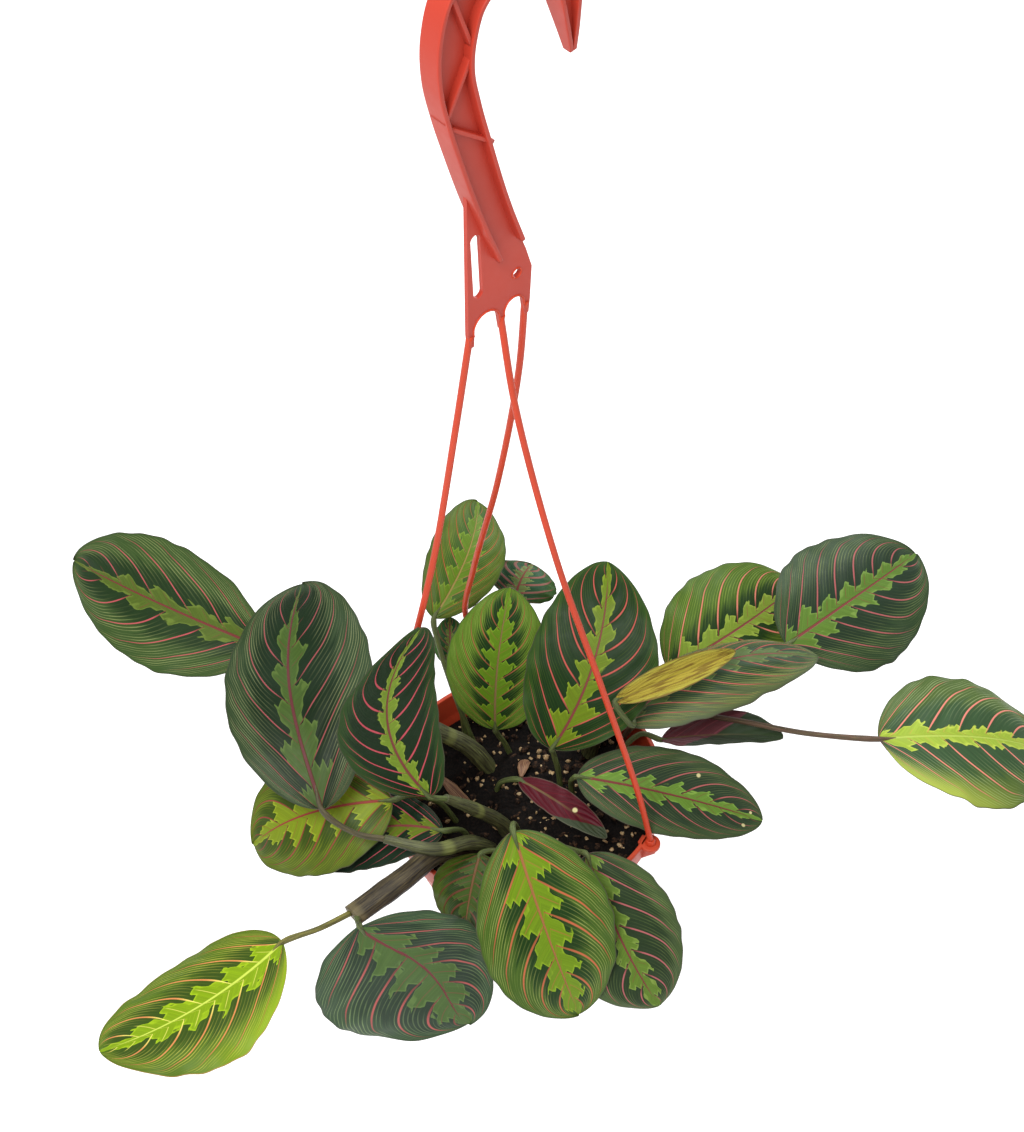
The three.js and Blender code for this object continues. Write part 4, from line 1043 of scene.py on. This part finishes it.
# The plate at the hook's foot: its sides and seams as (up, along) points, the heights it is worked out at
# as (from, to, count), two arches between its legs, a long slot and a round hole, each with its middle. The
# beads run round the arches and the hole on the plate's face.
plateLook = {
    "left": [(420, -19.9), (499, -16.2), (504, -14.5)],
    "right": [(420, 12.6), (427, 12.9), (443, 14.4), (454, 11.6), (466, 7.5), (504, -6)],
    "seamLeft": [(433.4, -10), (443, -13.4)], "seamRight": [(432, 4.5), (443, 6.5)],
    "foot": 420, "springing": 427, "legTaper": 0.7,
    "heights": [(420, 434, 57), (434.5, 441.4, 12), (441.6, 478, 120), (479, 504, 20)],
    "archLeft": dict(middle=-10, radius=6.3, top=433.3, beadRadius=6.9, beadTop=434),
    "archRight": dict(middle=4.5, radius=4.8, top=432, beadRadius=5.3, beadTop=432.7),
    "slot": dict(up=459.5, straight=13.5, radius=2.4),
    "hole": dict(along=6.5, up=444, radius=2.1, beadRadius=2.4), "bead": 0.4, "holeBead": 0.35,
}


# Where an outline given as (up, along) points lies at the heights z.
def edgeAlong(z, outline):
    return np.interp(z, *zip(*outline))


# Half the width of a round opening at the heights z: the root of radius^2 - distance^2 past its straight.
def halfGap(z, up, radius, straight=0):
    away = np.maximum(np.abs(z - up) - straight, 0)
    return np.sqrt(np.maximum(radius ** 2 - away ** 2, 0))


# Half the width of an arch: radius * sqrt(1 - t * t), where t runs from 0 at its springing to 1 at its top.
def archGap(z, arch, taper):
    springing = plateLook["springing"]
    t = np.maximum(z - springing, 0) / (arch["top"] - springing)
    return arch["radius"] * np.sqrt(np.maximum(1 - t ** 2, 0)) + taper * (z < springing)


# The plate is three slabs: left of the slot, between slot and hole, and right of the hole.
def plateParts():
    z = np.concatenate([np.linspace(*stretch) for stretch in plateLook["heights"]])
    taper = np.interp(z, [plateLook["foot"], plateLook["springing"]], [plateLook["legTaper"], 0])
    slot, hole = plateLook["slot"], plateLook["hole"]
    left, right = edgeAlong(z, plateLook["left"]) + taper, edgeAlong(z, plateLook["right"]) - taper
    seamLeft = edgeAlong(z, plateLook["seamLeft"])
    seamRight = np.minimum(edgeAlong(z, plateLook["seamRight"]), right - 0.05)
    gapLeft = archGap(z, plateLook["archLeft"], taper) + halfGap(z, **slot)
    gapRight = archGap(z, plateLook["archRight"], taper) + halfGap(z, hole["up"], hole["radius"])
    parts = []
    for low, high in ((left, seamLeft - gapLeft), (seamLeft + gapLeft, seamRight - gapRight),
                      (seamRight + gapRight, right)):
        edges = [np.stack([s, z], -1) for s in (low, np.maximum(high, low + 0.02))]
        parts.append(plateSlab(*edges, hangerLook["web"] / 2, squareBar))
    return parts


# A thin round bead on the plate's face: (along + radius * cos, up + rise * sin) of the angles.
def bead(angle, along, up, radius, rise, half):
    path = onPlate(along + radius * np.cos(angle), up + rise * np.sin(angle)) - plateNormal
    return tube(path, half, half, circle(10), plateNormal)


points, faces, attributes = joined(plateParts())
# The plate takes the hook's copy of the plastic, with its painted sheen.
dress(newPiece("hanger_plate_look", points, faces, [hookSheenPlastic], attributes, smooth=False), "hanger")
parts = []
for arch in (plateLook["archLeft"], plateLook["archRight"]):
    springing = plateLook["springing"]
    parts.append(bead(np.linspace(-0.25, np.pi + 0.25, 60), arch["middle"], springing, arch["beadRadius"],
                      arch["beadTop"] - springing, plateLook["bead"]))
hole = plateLook["hole"]
parts.append(bead(np.linspace(0, 2 * np.pi, 40), hole["along"], hole["up"], hole["beadRadius"],
                  hole["beadRadius"], plateLook["holeBead"]))
points, faces, attributes = joined(parts)
dress(newPiece("hanger_beads_look", points, faces, [hangerPlastic], attributes), "hanger")
print("plate")


stageLook = {"floorBelow": 260, "floorHalf": 3000, "floorColor": (0.93, 0.93, 0.93), "floorGlow": 0.5,
             "skyStrength": 0.5, "lampAim": (0, 0, 120)}
lampLook = {
    "keyLight": dict(place=(-350, -650, 1500), size=0.7, power=19, color=(1, 0.99, 0.97)),
    "backLight": dict(place=(400, 1100, 1100), size=0.9, power=15, color=(0.96, 0.98, 1)),
}
cameraLook = {"place": (-1.6, -638.6, 1032.2), "pitchDown": 50, "roll": 2.7, "lens": 70.6, "sensor": 36}

floorMaterial, tree, shader = newMaterial("floorPale")
finish(shader, linear(stageLook["floorColor"]), 0.9)
shader.inputs["Emission Color"].default_value = (1, 1, 1, 1)
shader.inputs["Emission Strength"].default_value = stageLook["floorGlow"]
half, low = stageLook["floorHalf"], -stageLook["floorBelow"]
corners = [(-half, -half, low), (half, -half, low), (half, half, low), (-half, half, low)]
floor = newPiece("floor", corners, [np.array([[0, 1, 2, 3]])], [floorMaterial])

world = bpy.data.worlds.new("studio")
world.use_nodes = True
world.node_tree.nodes["Background"].inputs["Color"].default_value = (1, 1, 1, 1)
world.node_tree.nodes["Background"].inputs["Strength"].default_value = stageLook["skyStrength"]
bpy.context.scene.world = world
bpy.context.scene.view_settings.view_transform = "Standard"

for name, lamp in lampLook.items():
    light = bpy.data.lights.new(name, "AREA")
    light.shape, light.size, light.energy, light.color = "DISK", lamp["size"], lamp["power"], lamp["color"]
    softLight = bpy.data.objects.new(name, light)
    bpy.context.scene.collection.objects.link(softLight)
    where, target = Vector(toWorld(lamp["place"])), Vector(toWorld(stageLook["lampAim"]))
    facing = (target - where).to_track_quat("-Z", "Y").to_matrix().to_4x4()
    softLight.matrix_world = Matrix.Translation(where) @ facing

# The camera looks along y, pitched down, and is rolled about its line of sight.
pitch, roll = math.radians(cameraLook["pitchDown"]), math.radians(cameraLook["roll"])
forward = np.array([0, math.cos(pitch), -math.sin(pitch)])
right, up = np.array([1, 0, 0]), np.array([0, math.sin(pitch), math.cos(pitch)])
cameraX = right * math.cos(roll) - up * math.sin(roll)
cameraY = up * math.cos(roll) + right * math.sin(roll)
facing = Matrix(np.stack([cameraX, cameraY, -forward], -1).tolist()).to_4x4()
lens = bpy.data.cameras.new("frontCamera")
lens.lens, lens.sensor_width, lens.sensor_fit = cameraLook["lens"], cameraLook["sensor"], "AUTO"
lens.clip_end = 20
camera = bpy.data.objects.new("frontCamera", lens)
camera.matrix_world = Matrix.Translation(Vector(toWorld(cameraLook["place"]))) @ facing
bpy.context.scene.collection.objects.link(camera)
bpy.context.scene.camera = camera
print("camera")
